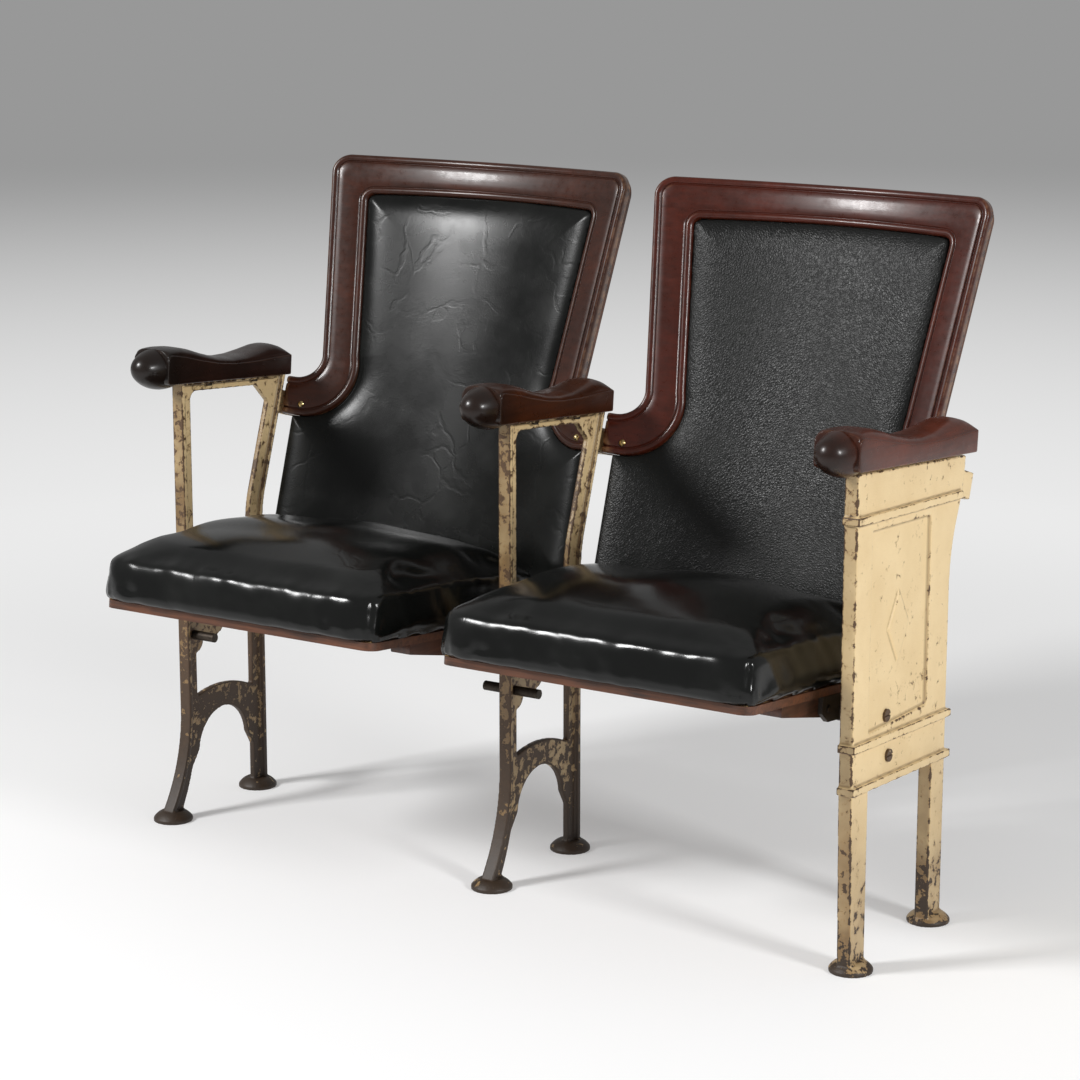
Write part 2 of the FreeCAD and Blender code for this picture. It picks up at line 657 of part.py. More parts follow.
def end_rear_edge():
    """The end panel's rear edge, drawn upwards: straight, swept back and returned."""
    turn_y = "(size.end_rear_face + size.end_sweep * (1 - cos(size.end_turn)))"
    turn_z = "(size.end_bend + size.end_sweep * sin(size.end_turn))"
    top_y = "(%s + size.end_return * (cos(size.end_turn_top) - cos(size.end_turn)))" % turn_y
    top_z = "(%s + size.end_return * (sin(size.end_turn) - sin(size.end_turn_top)))" % turn_z
    return [
        ("size.end_rear_face", "size.end_bend", "-size.end_sweep"),
        (turn_y, turn_z, "size.end_return"),
        (top_y, top_z),
    ]


def end_standard(label, x):
    body = new_body(label)
    level = "size.end_arm_level"
    sole = "size.foot_rim"
    front_leg_in = "(size.end_front_leg - size.end_face)"
    rear_leg_in = "(size.end_rear_face - size.end_rear_leg)"
    low = "size.end_panel_low"
    edge = end_rear_edge()
    top_y = edge[-1][0]
    rim_top = lambda y: underside(level, y) + " - size.end_top_gap"
    panel = new_sketch(body, "YZ_Plane", label + "_panel")
    draw(panel, [
        ("size.end_leg_taper - size.end_face", sole),
        (front_leg_in, sole),
        (front_leg_in, low),
        (rear_leg_in, low),
        (rear_leg_in, sole),
        ("size.end_rear_face", sole),
        *edge,
        (top_y, rim_top(top_y)),
        ("-size.end_face", rim_top("-size.end_face")),
        ("-size.end_face", low),
    ])
    pad(body, panel, "size.post_width", midplane=True)
    packing = new_sketch(body, "YZ_Plane", label + "_packing",
                         lift="-(size.post_width + size.head_width / 2)")
    pack_front = "(size.post_width - size.end_face)"
    pack_rear = "(size.end_arm_rear - size.arm_corner)"
    draw(packing, [
        (pack_front, rim_top(pack_front)),
        (pack_rear, rim_top(pack_rear)),
        (pack_rear, underside(level, pack_rear)),
        (pack_front, underside(level, pack_front)),
    ])
    pad(body, packing, "size.post_width + size.head_width / 2 + size.web_thick / 2")
    strips = (
        ("upper", "(%s - size.moulding_drop)" % level, "(%s)" % edge[1][0]),
        ("lower", "size.moulding_lower", "size.end_rear_face"),
        ("foot", "size.moulding_foot", "size.end_rear_face"),
    )
    for word, height, rear in strips:
        strip = new_sketch(body, "YZ_Plane", label + "_moulding_" + word, lift="-size.post_width / 2")
        front = "(-size.end_face - size.moulding_out)"
        back = "(%s + size.moulding_out)" % rear
        strip_low = lambda y: level_line(height, "size.moulding_fall", y)
        draw(strip, [
            (front, strip_low(front)),
            (back, strip_low(back)),
            (back, strip_low(back) + " + size.moulding_high"),
            (front, strip_low(front) + " + size.moulding_high"),
        ])
        pad(body, strip, "size.post_width + size.moulding_out")
    recess = new_sketch(body, "YZ_Plane", label + "_recess", lift="size.post_width / 2")
    draw(recess, [
        ("-size.recess_front", "size.recess_low"),
        ("size.recess_rear", "size.recess_low"),
        ("size.recess_rear", level_line("size.recess_high", "size.moulding_fall", "size.recess_rear")),
        ("-size.recess_front", level_line("size.recess_high", "size.moulding_fall", "-size.recess_front")),
    ])
    pocket(body, recess, length="size.recess_deep")
    hollow = new_sketch(body, "YZ_Plane", label + "_hollow", lift="-size.post_width / 2")
    draw(hollow, [
        ("size.back_wall - size.end_face", low + " + size.back_wall"),
        ("size.end_rear_face - size.back_wall", low + " + size.back_wall"),
        ("size.end_rear_face - size.back_wall", "size.end_bend"),
        ("size.end_rear_face - size.back_wall", rim_top("size.end_rear_face") + " - size.back_wall"),
        ("size.back_wall - size.end_face", rim_top("-size.end_face") + " - size.back_wall"),
    ])
    for front, rear in (("size.end_leg_taper - size.end_face", front_leg_in),
                        (rear_leg_in, "size.end_rear_face")):
        draw(hollow, [
            (front + " + size.back_wall", "size.foot_high"),
            (rear + " - size.back_wall", "size.foot_high"),
            (rear + " - size.back_wall", low + " - size.back_wall"),
            (front + " + size.back_wall", low + " - size.back_wall"),
        ])
    pocket(body, hollow, length="size.back_deep", reverse=True)
    lozenge = new_sketch(body, "YZ_Plane", label + "_lozenge",
                         lift="size.post_width / 2 - size.recess_deep - size.lozenge_raise")
    middle = "((size.recess_rear - size.recess_front) / 2)"
    draw(lozenge, [
        (middle, "size.lozenge_level - size.lozenge_high / 2"),
        (middle + " + size.lozenge_wide / 2", "size.lozenge_level"),
        (middle, "size.lozenge_level + size.lozenge_high / 2"),
        (middle + " - size.lozenge_wide / 2", "size.lozenge_level"),
    ])
    pad(body, lozenge, "2 * size.lozenge_raise")
    foot(body, "-size.end_foot_front", label + "_front_foot")
    foot(body, "size.end_foot_rear", label + "_rear_foot")
    hinge_seat(body, label, ("left",))
    ears(body, ("left",), label + "_ears", "size.end_ear_root")
    screw_holes(body, label, level, "-(size.post_width + size.head_width / 2 - size.arm_screw_side)")
    place(body, x=x)
    return body


def arm(label, x, level, tip, rear):
    """A turned and carved arm. Its frame lies along its own underside."""
    body = new_body(label)
    arris = "(size.arm_arris - %s)" % tip
    hump_y = "(%s - size.arm_hump_in)" % rear
    shoulder_y = "(2 * size.knob_half - %s)" % tip
    dip = "((size.arm_hump + size.arm_shoulder) / 2 - size.arm_valley)"
    span = "((%s - %s) / 2)" % (hump_y, shoulder_y)
    side = new_sketch(body, "YZ_Plane", label + "_side")
    draw(side, [
        (arris + " + size.arm_corner", "0"),
        (rear, "0"),
        (rear, "size.arm_rear_high", "size.arm_heel"),
        (hump_y, "size.arm_hump", "-((%s^2 + %s^2) / (2 * %s))" % (span, dip, dip)),
        (shoulder_y, "size.arm_shoulder", "(2 * size.knob_half)"),
        (arris + " + size.arm_corner", "size.arm_cheek + size.arm_corner", "size.arm_brow"),
        (arris, "size.arm_cheek"),
        (arris, "size.arm_corner", "size.arm_corner"),
    ])
    pad(body, side, "size.arm_width", midplane=True)
    half = number("size.arm_width") / 2
    flush = 0.01

    def top_edge(edge):
        box = edge.BoundBox
        on_side = abs(abs(box.Center.x) - half) < flush and box.XLength < flush
        long_run = box.YLength > number("size.arm_corner") / 2
        return on_side and long_run and box.ZMin > number("size.arm_rear_high") / 2

    fillet(body, "size.arm_round", top_edge)
    knob = new_sketch(body, "YZ_Plane", label + "_knob", across="size.knob_axis")
    big = ("(((size.knob_half - size.nose_radius)^2 + size.knob_radius^2 - size.nose_radius^2)"
           " / (2 * (size.knob_radius - size.nose_radius)))")
    share = "(size.nose_radius / (%s - size.nose_radius))" % big
    centre_y = "(size.knob_half - %s)" % tip
    nose_y = "(size.nose_radius - %s)" % tip
    meet_y = "(%s + (%s - %s) * %s)" % (nose_y, nose_y, centre_y, share)
    meet_z = "((%s - size.knob_radius) * %s)" % (big, share)
    tail_y = "(2 * %s - %s)" % (centre_y, meet_y)
    draw(knob, [
        (negative(tip), "0"),
        (tail_y, "0"),
        (tail_y, meet_z, big),
        (centre_y, "size.knob_radius", big),
        (meet_y, meet_z, "size.nose_radius"),
    ])
    turned(body, knob, "H_Axis")
    place(body, x=x, z=level, turn="-size.arm_fall")
    return body


def arm_screws(label):
    """Wood screws that hold the arms, driven up through the head plates."""
    body = new_body(label)
    spots = []
    for x, level in (("-size.seat_pitch", "size.arm_level"), ("0", "size.arm_level"),
                     ("size.seat_pitch", "size.end_arm_level")):
        last = level == "size.end_arm_level"
        side = "size.arm_screw_side"
        if last:
            side = "-(size.post_width + size.head_width / 2 - size.arm_screw_side)"
        thick = "size.end_top_gap" if last else "size.head_thick"
        for y in ("-size.arm_screw_front", "size.arm_screw_rear"):
            spots.append(("%s + %s" % (x, side), y, underside(level, y) + " - %s" % thick))
    for i, (x, y, z) in enumerate(spots):
        head = new_sketch(body, "XY_Plane", "%s_head_%d" % (label, i), lift=z)
        draw_circle(head, x, y, "size.wood_screw_head")
        pad(body, head, "size.wood_screw_rise", reverse=True)
        shank = new_sketch(body, "XY_Plane", "%s_shank_%d" % (label, i), lift=z)
        draw_circle(shank, x, y, "size.wood_screw")
        pad(body, shank, "size.arm_screw_long")
    place(body)
    return body


def cylinder_along_x(body, name, y, z, radius, start, length):
    sketch = new_sketch(body, "YZ_Plane", name, lift=start)
    draw_circle(sketch, y, z, radius)
    pad(body, sketch, length)


def slot(body, name, y, z, face, deep, reverse):
    """The slot of a screw head, cut from its outer face."""
    sketch = new_sketch(body, "YZ_Plane", name, lift=face)
    half = "size.slot_wide / 2"
    draw(sketch, [
        ("%s - size.head_radius" % y, "%s - %s" % (z, half)),
        ("%s + size.head_radius" % y, "%s - %s" % (z, half)),
        ("%s + size.head_radius" % y, "%s + %s" % (z, half)),
        ("%s - size.head_radius" % y, "%s + %s" % (z, half)),
    ])
    pocket(body, sketch, length=deep, reverse=reverse)


def pivot_pin(label, x, sides, bearing):
    """A steel pin through the standard's boss. An outer end has a slotted head."""
    body = new_body(label)
    reach = "(size.seat_pitch / 2 - size.rail_outer - size.bracket_thick - size.face_gap)"
    left = "-%s" % reach if "left" in sides else "-%s" % bearing
    right = reach if "right" in sides else bearing
    z = "size.pivot_level"
    cylinder_along_x(body, label + "_shank", pivot_y, z, "size.pin_radius", left,
                     "%s - (%s)" % (right, left))
    if len(sides) == 1:
        outwards = sides == ("left",)
        face = bearing if outwards else "-%s" % bearing
        start = face if outwards else "%s - size.head_high" % face
        cylinder_along_x(body, label + "_head", pivot_y, z, "size.head_radius", start, "size.head_high")
        outer = "%s + size.head_high" % face if outwards else start
        slot(body, label + "_slot", pivot_y, z, outer, "size.head_high / 2", not outwards)
    place(body, x=x)
    return body


def stop_stud(label, x, sides, bearing, inner):
    """A steel stud that the bracket's tail meets when the seat is up."""
    body = new_body(label)
    z = "(size.pivot_level - size.stud_drop)"
    left = "-size.stud_reach" if "left" in sides else "-%s" % bearing
    right = "size.stud_reach" if "right" in sides else bearing
    cylinder_along_x(body, label + "_neck", pivot_y, z, "size.stud_radius / 2", left,
                     "%s - (%s)" % (right, left))
    for side in sides:
        start = inner if side == "right" else "-size.stud_reach"
        cylinder_along_x(body, label + "_barrel_" + side, pivot_y, z, "size.stud_radius", start,
                         "size.stud_reach - %s" % inner)
    if len(sides) == 1:
        outwards = sides == ("left",)
        face = bearing if outwards else "-%s" % bearing
        start = face if outwards else "%s - size.head_high" % face
        cylinder_along_x(body, label + "_head", pivot_y, z, "size.head_radius", start, "size.head_high")
        outer = "%s + size.head_high" % face if outwards else start
        slot(body, label + "_slot", pivot_y, z, outer, "size.head_high / 2", not outwards)
    place(body, x=x)
    return body


def ring_along_x(body, name, radius, bore, start, length):
    sketch = new_sketch(body, "YZ_Plane", name, lift=start)
    draw_circle(sketch, "0", "0", radius)
    draw_circle(sketch, "0", "0", bore)
    pad(body, sketch, length)


seat_sides = (("-size.seat_pitch", 1), ("0", -1), ("0", 1), ("size.seat_pitch", -1))


def hinge_washers(label):
    """A steel washer on the pin between each standard and each hinge bracket."""
    body = new_body(label)
    for i, (x, side) in enumerate(seat_sides):
        start = "%s + size.boss_reach" % x if side > 0 else "%s - size.boss_reach - size.washer_thick" % x
        ring_along_x(body, "%s_%d" % (label, i), "size.washer_radius", "size.pin_radius", start,
                     "size.washer_thick")
    place(body, y=pivot_y, z="size.pivot_level")
    return body


def rest_buffers(label):
    """Rubber buffers under the lugs, against which the bracket tails rest."""
    body = new_body(label)
    near = "(size.boss_reach + size.tail_stand)"
    low = "(size.tail_top + size.stop_gap)"
    for i, (x, side) in enumerate(seat_sides):
        start = "%s + %s" % (x, near) if side > 0 else "%s - %s - size.tail_thick" % (x, near)
        sketch = new_sketch(body, "YZ_Plane", "%s_%d" % (label, i), lift=start)
        draw(sketch, [
            ("size.buffer_front", low),
            ("size.buffer_front + size.buffer_long", low),
            ("size.buffer_front + size.buffer_long", low + " + size.buffer_thick"),
            ("size.buffer_front", low + " + size.buffer_thick"),
        ])
        pad(body, sketch, "size.tail_thick")
    place(body, y=pivot_y, z="size.pivot_level")
    return body


# The seat's own frame: origin on the hinge axis, x across, y to the rear, z square to the board.
boss_run = ("(size.seat_pitch / 2 - size.rail_outer - size.bracket_thick"
            " - size.boss_reach - size.washer_thick - size.face_gap)")
board_top = "(size.rail_under + size.board_thick)"


def place_on_seat(body, x):
    place(body, x=x, y=pivot_y, z="size.pivot_level", turn="-size.seat_pitch_angle")


def seat_board(label, x):
    body = new_body(label)
    half = "(size.cushion_half - size.board_inset)"
    front = "(size.board_inset - size.cushion_front)"
    rear = "(size.cushion_rear - size.board_inset - size.cushion_bow)"
    bow = "((%s^2 + size.cushion_bow^2) / (2 * size.cushion_bow))" % half
    corner = "size.cushion_corner"
    sketch = new_sketch(body, "XY_Plane", label + "_plan", lift="size.rail_under")
    draw(sketch, [
        ("-%s + %s" % (half, corner), front),
        ("%s - %s" % (half, corner), front, corner),
        (half, "%s + %s" % (front, corner)),
        (half, rear, bow),
        ("-%s" % half, rear),
        ("-%s" % half, "%s + %s" % (front, corner), corner),
    ])
    pad(body, sketch, "size.board_thick")
    place_on_seat(body, x)
    return body


def seat_rails(label, x):
    """Two tapered hardwood rails under the board, that carry the hinge brackets."""
    body = new_body(label)
    top = "size.rail_under"
    for word, start in (("left", "-size.rail_outer"), ("right", "(size.rail_outer - size.rail_wide)")):
        sketch = new_sketch(body, "YZ_Plane", label + "_" + word, lift=start)
        draw(sketch, [
            ("0", top + " - size.rail_deep"),
            ("size.rail_rear", top + " - size.rail_deep"),
            ("size.rail_rear", top),
            ("-size.rail_front + size.rail_tip / 2", top, "size.rail_tip"),
            ("-size.rail_front + size.rail_tip / 2", top + " - size.rail_tip"),
        ])
        pad(body, sketch, "size.rail_wide")
    place_on_seat(body, x)
    return body


def hinge_bracket(label, x, side):
    """A cast iron bracket: plate on the rail, boss on the pin and tail behind it."""
    body = new_body(label)
    reverse = side < 0

    def outward(name, start, length, outline):
        sketch = new_sketch(body, "YZ_Plane", label + name, lift="-%s" % start if reverse else start)
        outline(sketch)
        pad(body, sketch, length, reverse=reverse)

    high = "(size.rail_under - size.face_gap)"
    low = "(size.rail_under - size.rail_deep + size.face_gap)"
    outward("_plate", "size.rail_outer", "size.bracket_thick", lambda sketch: draw(sketch, [
        ("-size.bracket_half + size.bracket_chamfer", low),
        ("size.bracket_half", low),
        ("size.bracket_half", high),
        ("-size.bracket_half", high),
        ("-size.bracket_half", "0"),
    ]))
    outward("_boss", "size.rail_outer", "size.bracket_thick + %s" % boss_run,
            lambda sketch: draw_circle(sketch, "0", "0", "size.bracket_boss"))
    beta = "(size.seat_pitch_angle + size.tip_angle - 90)"
    pitch = "size.seat_pitch_angle"
    clear = "(size.stud_radius + size.stop_gap)"
    low_y = lambda reach: "%s * cos(%s) - %s * sin(%s)" % (reach, beta, clear, beta)
    low_z = lambda reach: "%s * sin(%s) + %s * cos(%s)" % (reach, beta, clear, beta)
    top_y = lambda reach: "%s * cos(%s) - size.tail_top * sin(%s)" % (reach, pitch, pitch)
    top_z = lambda reach: "%s * sin(%s) + size.tail_top * cos(%s)" % (reach, pitch, pitch)
    tail_start = "(size.seat_pitch / 2 - size.boss_reach - size.tail_stand - size.tail_thick)"
    outward("_tail", tail_start, "size.tail_thick", lambda sketch: draw(sketch, [
        (low_y("0"), low_z("0")),
        (low_y("size.tail_length"), low_z("size.tail_length")),
        (top_y("size.tail_length"), top_z("size.tail_length")),
        (top_y("0"), top_z("0")),
    ]))
    face = "(size.seat_pitch / 2 - size.boss_reach - size.washer_thick - size.face_gap)"
    bore = new_sketch(body, "YZ_Plane", label + "_bore", lift="-%s" % face if reverse else face)
    draw_circle(bore, "0", "0", "size.pin_radius + size.bush_wall")
    pocket(body, bore, length=boss_run, reverse=reverse)
    holes = new_sketch(body, "YZ_Plane", label + "_holes",
                       lift="-size.rail_outer" if reverse else "size.rail_outer")
    for share in ("-1", "1"):
        draw_circle(holes, "%s * size.bracket_screw" % share, "size.bracket_screw_level",
                    "size.wood_screw + size.run_gap")
    pocket(body, holes, length="size.bracket_thick", reverse=not reverse)
    place_on_seat(body, x)
    return body


def hinge_bushes(label, x):
    """Brass bushes pressed in the bracket bosses."""
    body = new_body(label)
    plate = "(size.rail_outer + size.bracket_thick)"
    for word, start in (("left", "-%s - %s" % (plate, boss_run)), ("right", plate)):
        ring_along_x(body, label + "_" + word, "size.pin_radius + size.bush_wall",
                     "size.pin_radius + size.run_gap", start, boss_run)
    place_on_seat(body, x)
    return body


def bracket_screws(label, x):
    """Wood screws through the bracket plates into the rails."""
    body = new_body(label)
    plate = "(size.rail_outer + size.bracket_thick)"
    long = "(size.bracket_thick + size.rail_wide / 2)"
    for i, (side, share) in enumerate(((-1, "-1"), (-1, "1"), (1, "-1"), (1, "1"))):
        y = "%s * size.bracket_screw" % share
        head_start = plate if side > 0 else "-%s - size.wood_screw_rise" % plate
        shank_start = "%s - %s" % (plate, long) if side > 0 else "-%s" % plate
        cylinder_along_x(body, "%s_head_%d" % (label, i), y, "size.bracket_screw_level",
                         "size.wood_screw_head", head_start, "size.wood_screw_rise")
        cylinder_along_x(body, "%s_shank_%d" % (label, i), y, "size.bracket_screw_level",
                         "size.wood_screw", shank_start, long)
    place_on_seat(body, x)
    return body


frame_front = "(size.frame_inset - size.cushion_front)"
frame_rear = "(size.cushion_rear - size.cushion_bow - size.frame_inset)"
frame_half = "(size.cushion_half - size.frame_inset)"


def box_frame(label, x):
    """The cushion's hidden wooden frame, that holds the springs."""
    body = new_body(label)
    sketch = new_sketch(body, "XY_Plane", label + "_plan", lift=board_top)
    for inset in ("0", "size.frame_wall"):
        draw(sketch, [
            ("%s - %s" % (inset, frame_half), "%s + %s" % (frame_front, inset)),
            ("%s - %s" % (frame_half, inset), "%s + %s" % (frame_front, inset)),
            ("%s - %s" % (frame_half, inset), "%s - %s" % (frame_rear, inset)),
            ("%s - %s" % (inset, frame_half), "%s - %s" % (frame_rear, inset)),
        ])
    pad(body, sketch, "size.frame_high")
    place_on_seat(body, x)
    return body


def board_screws(label, x):
    """Wood screws from under the board into the box frame."""
    body = new_body(label)
    front = "(%s + size.frame_wall / 2)" % frame_front
    rear = "(%s - size.frame_wall / 2)" % frame_rear
    spots = [(across, front) for across in ("-size.board_screw_front", "0", "size.board_screw_front")]
    spots += [(across, rear) for across in ("-size.board_screw_rear", "0", "size.board_screw_rear")]
    for i, (across, y) in enumerate(spots):
        head = new_sketch(body, "XY_Plane", "%s_head_%d" % (label, i), lift="size.rail_under")
        draw_circle(head, across, y, "size.wood_screw_head")
        pad(body, head, "size.wood_screw_rise", reverse=True)
        shank = new_sketch(body, "XY_Plane", "%s_shank_%d" % (label, i), lift="size.rail_under")
        draw_circle(shank, across, y, "size.wood_screw")
        pad(body, shank, "size.board_thick + size.frame_high / 2")
    place_on_seat(body, x)
    return body


def sinuous_springs(label, x):
    """Flat zigzag springs from the front to the rear of the box frame."""
    wire = number("size.wire_radius")
    bend = number("size.spring_bend")
    reach = number("size.spring_width") / 2 - bend
    spacing = number("size.spring_spacing")
    level = number(board_top + " + size.frame_high") + wire
    front = number(frame_front + " + size.frame_wall / 2")
    rear = number(frame_rear + " - size.frame_wall / 2")
    rows = int((rear - front) // (2 * bend))
    edges = []
    for row in range(rows):
        side = 1 if row % 2 == 0 else -1
        y = front + 2 * bend * row
        turn_x = side * reach
        edges.append(Part.LineSegment(Vector(-turn_x, y, level), Vector(turn_x, y, level)).toShape())
        outer = Vector(turn_x + side * bend, y + bend, level)
        quarter = bend * math.sin(math.pi / 4)
        low_mid = Vector(turn_x + side * quarter, y + bend - quarter, level)
        high_mid = Vector(turn_x + side * quarter, y + bend + quarter, level)
        edges.append(Part.Arc(Vector(turn_x, y, level), low_mid, outer).toShape())
        edges.append(Part.Arc(outer, high_mid, Vector(turn_x, y + 2 * bend, level)).toShape())
    side = 1 if rows % 2 == 0 else -1
    last_y = front + 2 * bend * rows
    last_ends = (Vector(-side * reach, last_y, level), Vector(side * reach, last_y, level))
    edges.append(Part.LineSegment(*last_ends).toShape())
    path = Part.Wire(edges)
    start = Vector(-reach, front, level)
    section = Part.Wire([Part.makeCircle(wire, start, Vector(1, 0, 0))])
    spring = path.makePipeShell([section], True, False)
    count = int(number("size.spring_count"))
    springs = []
    for i in range(count):
        copy = spring.copy()
        copy.translate(Vector((i - (count - 1) / 2) * spacing, 0, 0))
        springs.append(copy)
    made = doc.addObject("Part::Feature", "body_" + label)
    made.Label = label
    made.Shape = Part.makeCompound(springs)
    place_on_seat(made, x)
    return made


# Across the cushion: share of its half width, share of the corner's radius, share of the crown.
cushion_stations = (
    ("-1", "1", "size.crown_edge"),
    ("-size.shoulder_place", "0", "size.crown_shoulder"),
    ("-size.quarter_place", "0", "size.crown_quarter"),
    ("0", "0", "1"),
    ("size.quarter_place", "0", "size.crown_quarter"),
    ("size.shoulder_place", "0", "size.crown_shoulder"),
    ("1", "1", "size.crown_edge"),
)


def cushion_stack(body, label, inset, floor, belly):
    """Sections of the crowned cushion, square to its width."""
    sketches = []
    for i, (share, corner, rise) in enumerate(cushion_stations):
        front = "(%s + %s * size.cushion_corner - size.cushion_front)" % (inset, corner)
        rear = ("(size.cushion_rear - size.cushion_bow * (%s)^2 - %s - %s * size.cushion_corner)"
                % (share, inset, corner))
        seam = "(%s + size.cushion_side - %s)" % (board_top, inset)
        crown = "(size.cushion_crown * %s)" % rise
        top_radius = "(((%s - %s)^2 / 4 + %s^2) / (2 * %s))" % (rear, front, crown, crown)
        sketch = new_sketch(body, "YZ_Plane", "%s_%d" % (label, i),
                            lift="%s * (size.cushion_half - %s)" % (share, inset))
        side = ()
        if belly:
            height = "(%s - %s)" % (seam, floor)
            side = ("((%s^2 / 4 + size.cushion_belly^2) / (2 * size.cushion_belly))" % height,)
        draw(sketch, [
            (front, floor),
            (rear, floor) + side,
            (rear, seam, top_radius),
            (front, seam) + side,
        ])
        sketches.append(sketch)
    return sketches


def cushion_cover(label, x):
    """The vinyl cover, a thin crowned skin that is open towards the board."""
    body = new_body(label)
    loft(body, "AdditiveLoft", cushion_stack(body, label + "_outer", "0", board_top, True), label + "_skin")
    loft(body, "SubtractiveLoft",
         cushion_stack(body, label + "_inner", "size.cover_thick", board_top, True), label + "_inside")
    place_on_seat(body, x)
    return body


def cushion_foam(label, x):
    body = new_body(label)
    floor = "(%s + size.frame_high + 2 * size.wire_radius + size.soft_gap)" % board_top
    inset = "(size.cover_thick + size.soft_gap)"
    loft(body, "AdditiveLoft", cushion_stack(body, label + "_block", inset, floor, False), label + "_foam")
    place_on_seat(body, x)
    return body


# The back's own frame: x across, y square to its slope and to the rear, z up the slope.
def place_on_back(body, x):
    place(body, x=x, y="size.back_set", z="size.back_level", turn="-size.back_lean")


def face_y(x, behind):
    """Depth at x of the curved face that lies behind the back's front face."""
    return "(sqrt((size.back_radius + %s)^2 - (%s)^2) - size.back_radius)" % (behind, x)


waste_half = "(size.seat_pitch / 2)"
waste_deep = "size.waste_depth"
stile_slope = "((size.back_top_half - size.back_low_half) / (size.back_top - size.back_low))"
layers = "(size.back_front_layer + size.back_rear_layer)"


def stile_x(z, inset):
    return "(size.back_low_half - %s + (%s - size.back_low) * %s)" % (inset, z, stile_slope)


def trim_front(body, name, behind):
    """Takes away what lies in front of the curved face."""
    sketch = new_sketch(body, "XY_Plane", name)
    draw(sketch, [
        ("-" + waste_half, "-" + waste_deep),
        (waste_half, "-" + waste_deep),
        (waste_half, face_y(waste_half, behind), "(size.back_radius + %s)" % behind),
        ("-" + waste_half, face_y(waste_half, behind)),
    ])
    pocket(body, sketch)


def trim_rear(body, name, behind):
    """Takes away what lies behind the curved face."""
    sketch = new_sketch(body, "XY_Plane", name)
    draw(sketch, [
        ("-" + waste_half, face_y(waste_half, behind), "-(size.back_radius + %s)" % behind),
        (waste_half, face_y(waste_half, behind)),
        (waste_half, waste_deep),
        ("-" + waste_half, waste_deep),
    ])
    pocket(body, sketch)


def top_corners(inset, corner):
    """The upper right corner of an outline and the start of the crowned top edge."""
    top = "(size.back_top - %s)" % inset
    half = "(%s - %s)" % (stile_x(top, inset), corner)
    rise = "(size.back_crest - size.back_top)"
    crest = "((%s^2 + %s^2) / (2 * %s))" % (half, rise, rise)
    below = "(%s - %s)" % (top, corner)
    return [(stile_x(below, inset), below, corner), (half, top, crest)]


wing_end = "(size.seat_pitch / 2 - size.wing_gap)"
heel_top = "(size.wing_low + size.heel_high)"


def heel_corners(gap):
    """The rounded heel of a wing, drawn upwards along the panel's side."""
    inner = stile_x(heel_top, "size.rail_of_back")
    return [
        ("%s + size.heel_wide - %s" % (inner, gap), "size.wing_low - %s" % gap, "-size.heel_radius"),
        ("%s - %s" % (inner, gap), heel_top + " - %s" % gap),
    ]


def wing_corners(inset):
    return [
        ("%s - %s" % (wing_end, inset), "size.wing_low + %s" % inset),
        ("%s - %s" % (wing_end, inset), "size.wing_top - %s" % inset),
        (stile_x("size.back_low", inset) + " + size.wing_sweep", "size.wing_top - %s" % inset,
         "-size.wing_sweep"),
        (stile_x("size.back_low", inset), "size.wing_top - %s + size.wing_sweep" % inset),
    ]


def bolt_holes(body, name):
    holes = new_sketch(body, "XZ_Plane", name)
    for sign in ("", "-"):
        draw_circle(holes, "%s(size.seat_pitch / 2 - size.bolt_in)" % sign, "size.bolt_slope",
                    "size.bolt_radius + size.run_gap")
    pocket(body, holes)


def back_frame(label, x):
    """The moulded hardwood frame: top rail, stiles and wings in one curved piece."""
    body = new_body(label)
    outline = new_sketch(body, "XZ_Plane", label + "_outline")
    draw(outline, both_sides(wing_corners("0") + top_corners("0", "size.back_corner")))
    pad(body, outline, "2 * " + waste_deep, midplane=True)
    opening = new_sketch(body, "XZ_Plane", label + "_opening")
    heel = heel_corners("0")
    draw(opening, both_sides([(heel[0][0], "size.wing_low - size.rail_of_back")] + heel
                             + top_corners("size.rail_of_back", "size.opening_corner")))
    pocket(body, opening)
    trim_front(body, label + "_face", "0")
    trim_rear(body, label + "_rear", "size.back_front_layer")
    bolt_holes(body, label + "_holes")
    place_on_back(body, x)
    return body


def board_outline(inset, low, gap):
    foot_half = "(size.panel_half - %s)" % inset
    return [
        ("%s - size.panel_corner" % foot_half, low, "size.panel_corner"),
        (foot_half, "%s + size.panel_corner" % low),
        (foot_half, "size.wing_low - %s" % gap),
    ]


def back_board(label, x):
    """The curved plywood board behind frame and panel."""
    body = new_body(label)
    outline = new_sketch(body, "XZ_Plane", label + "_outline")
    half = board_outline("size.board_in", "size.panel_low", "0")
    half[-1] = (half[-1][0], "size.wing_low + size.board_in")
    draw(outline, both_sides(half + wing_corners("size.board_in")
                             + top_corners("size.board_in", "size.back_corner")))
    pad(body, outline, "2 * " + waste_deep, midplane=True)
    trim_front(body, label + "_face", "size.back_front_layer")
    trim_rear(body, label + "_rear", layers)
    bolt_holes(body, label + "_holes")
    place_on_back(body, x)
    return body


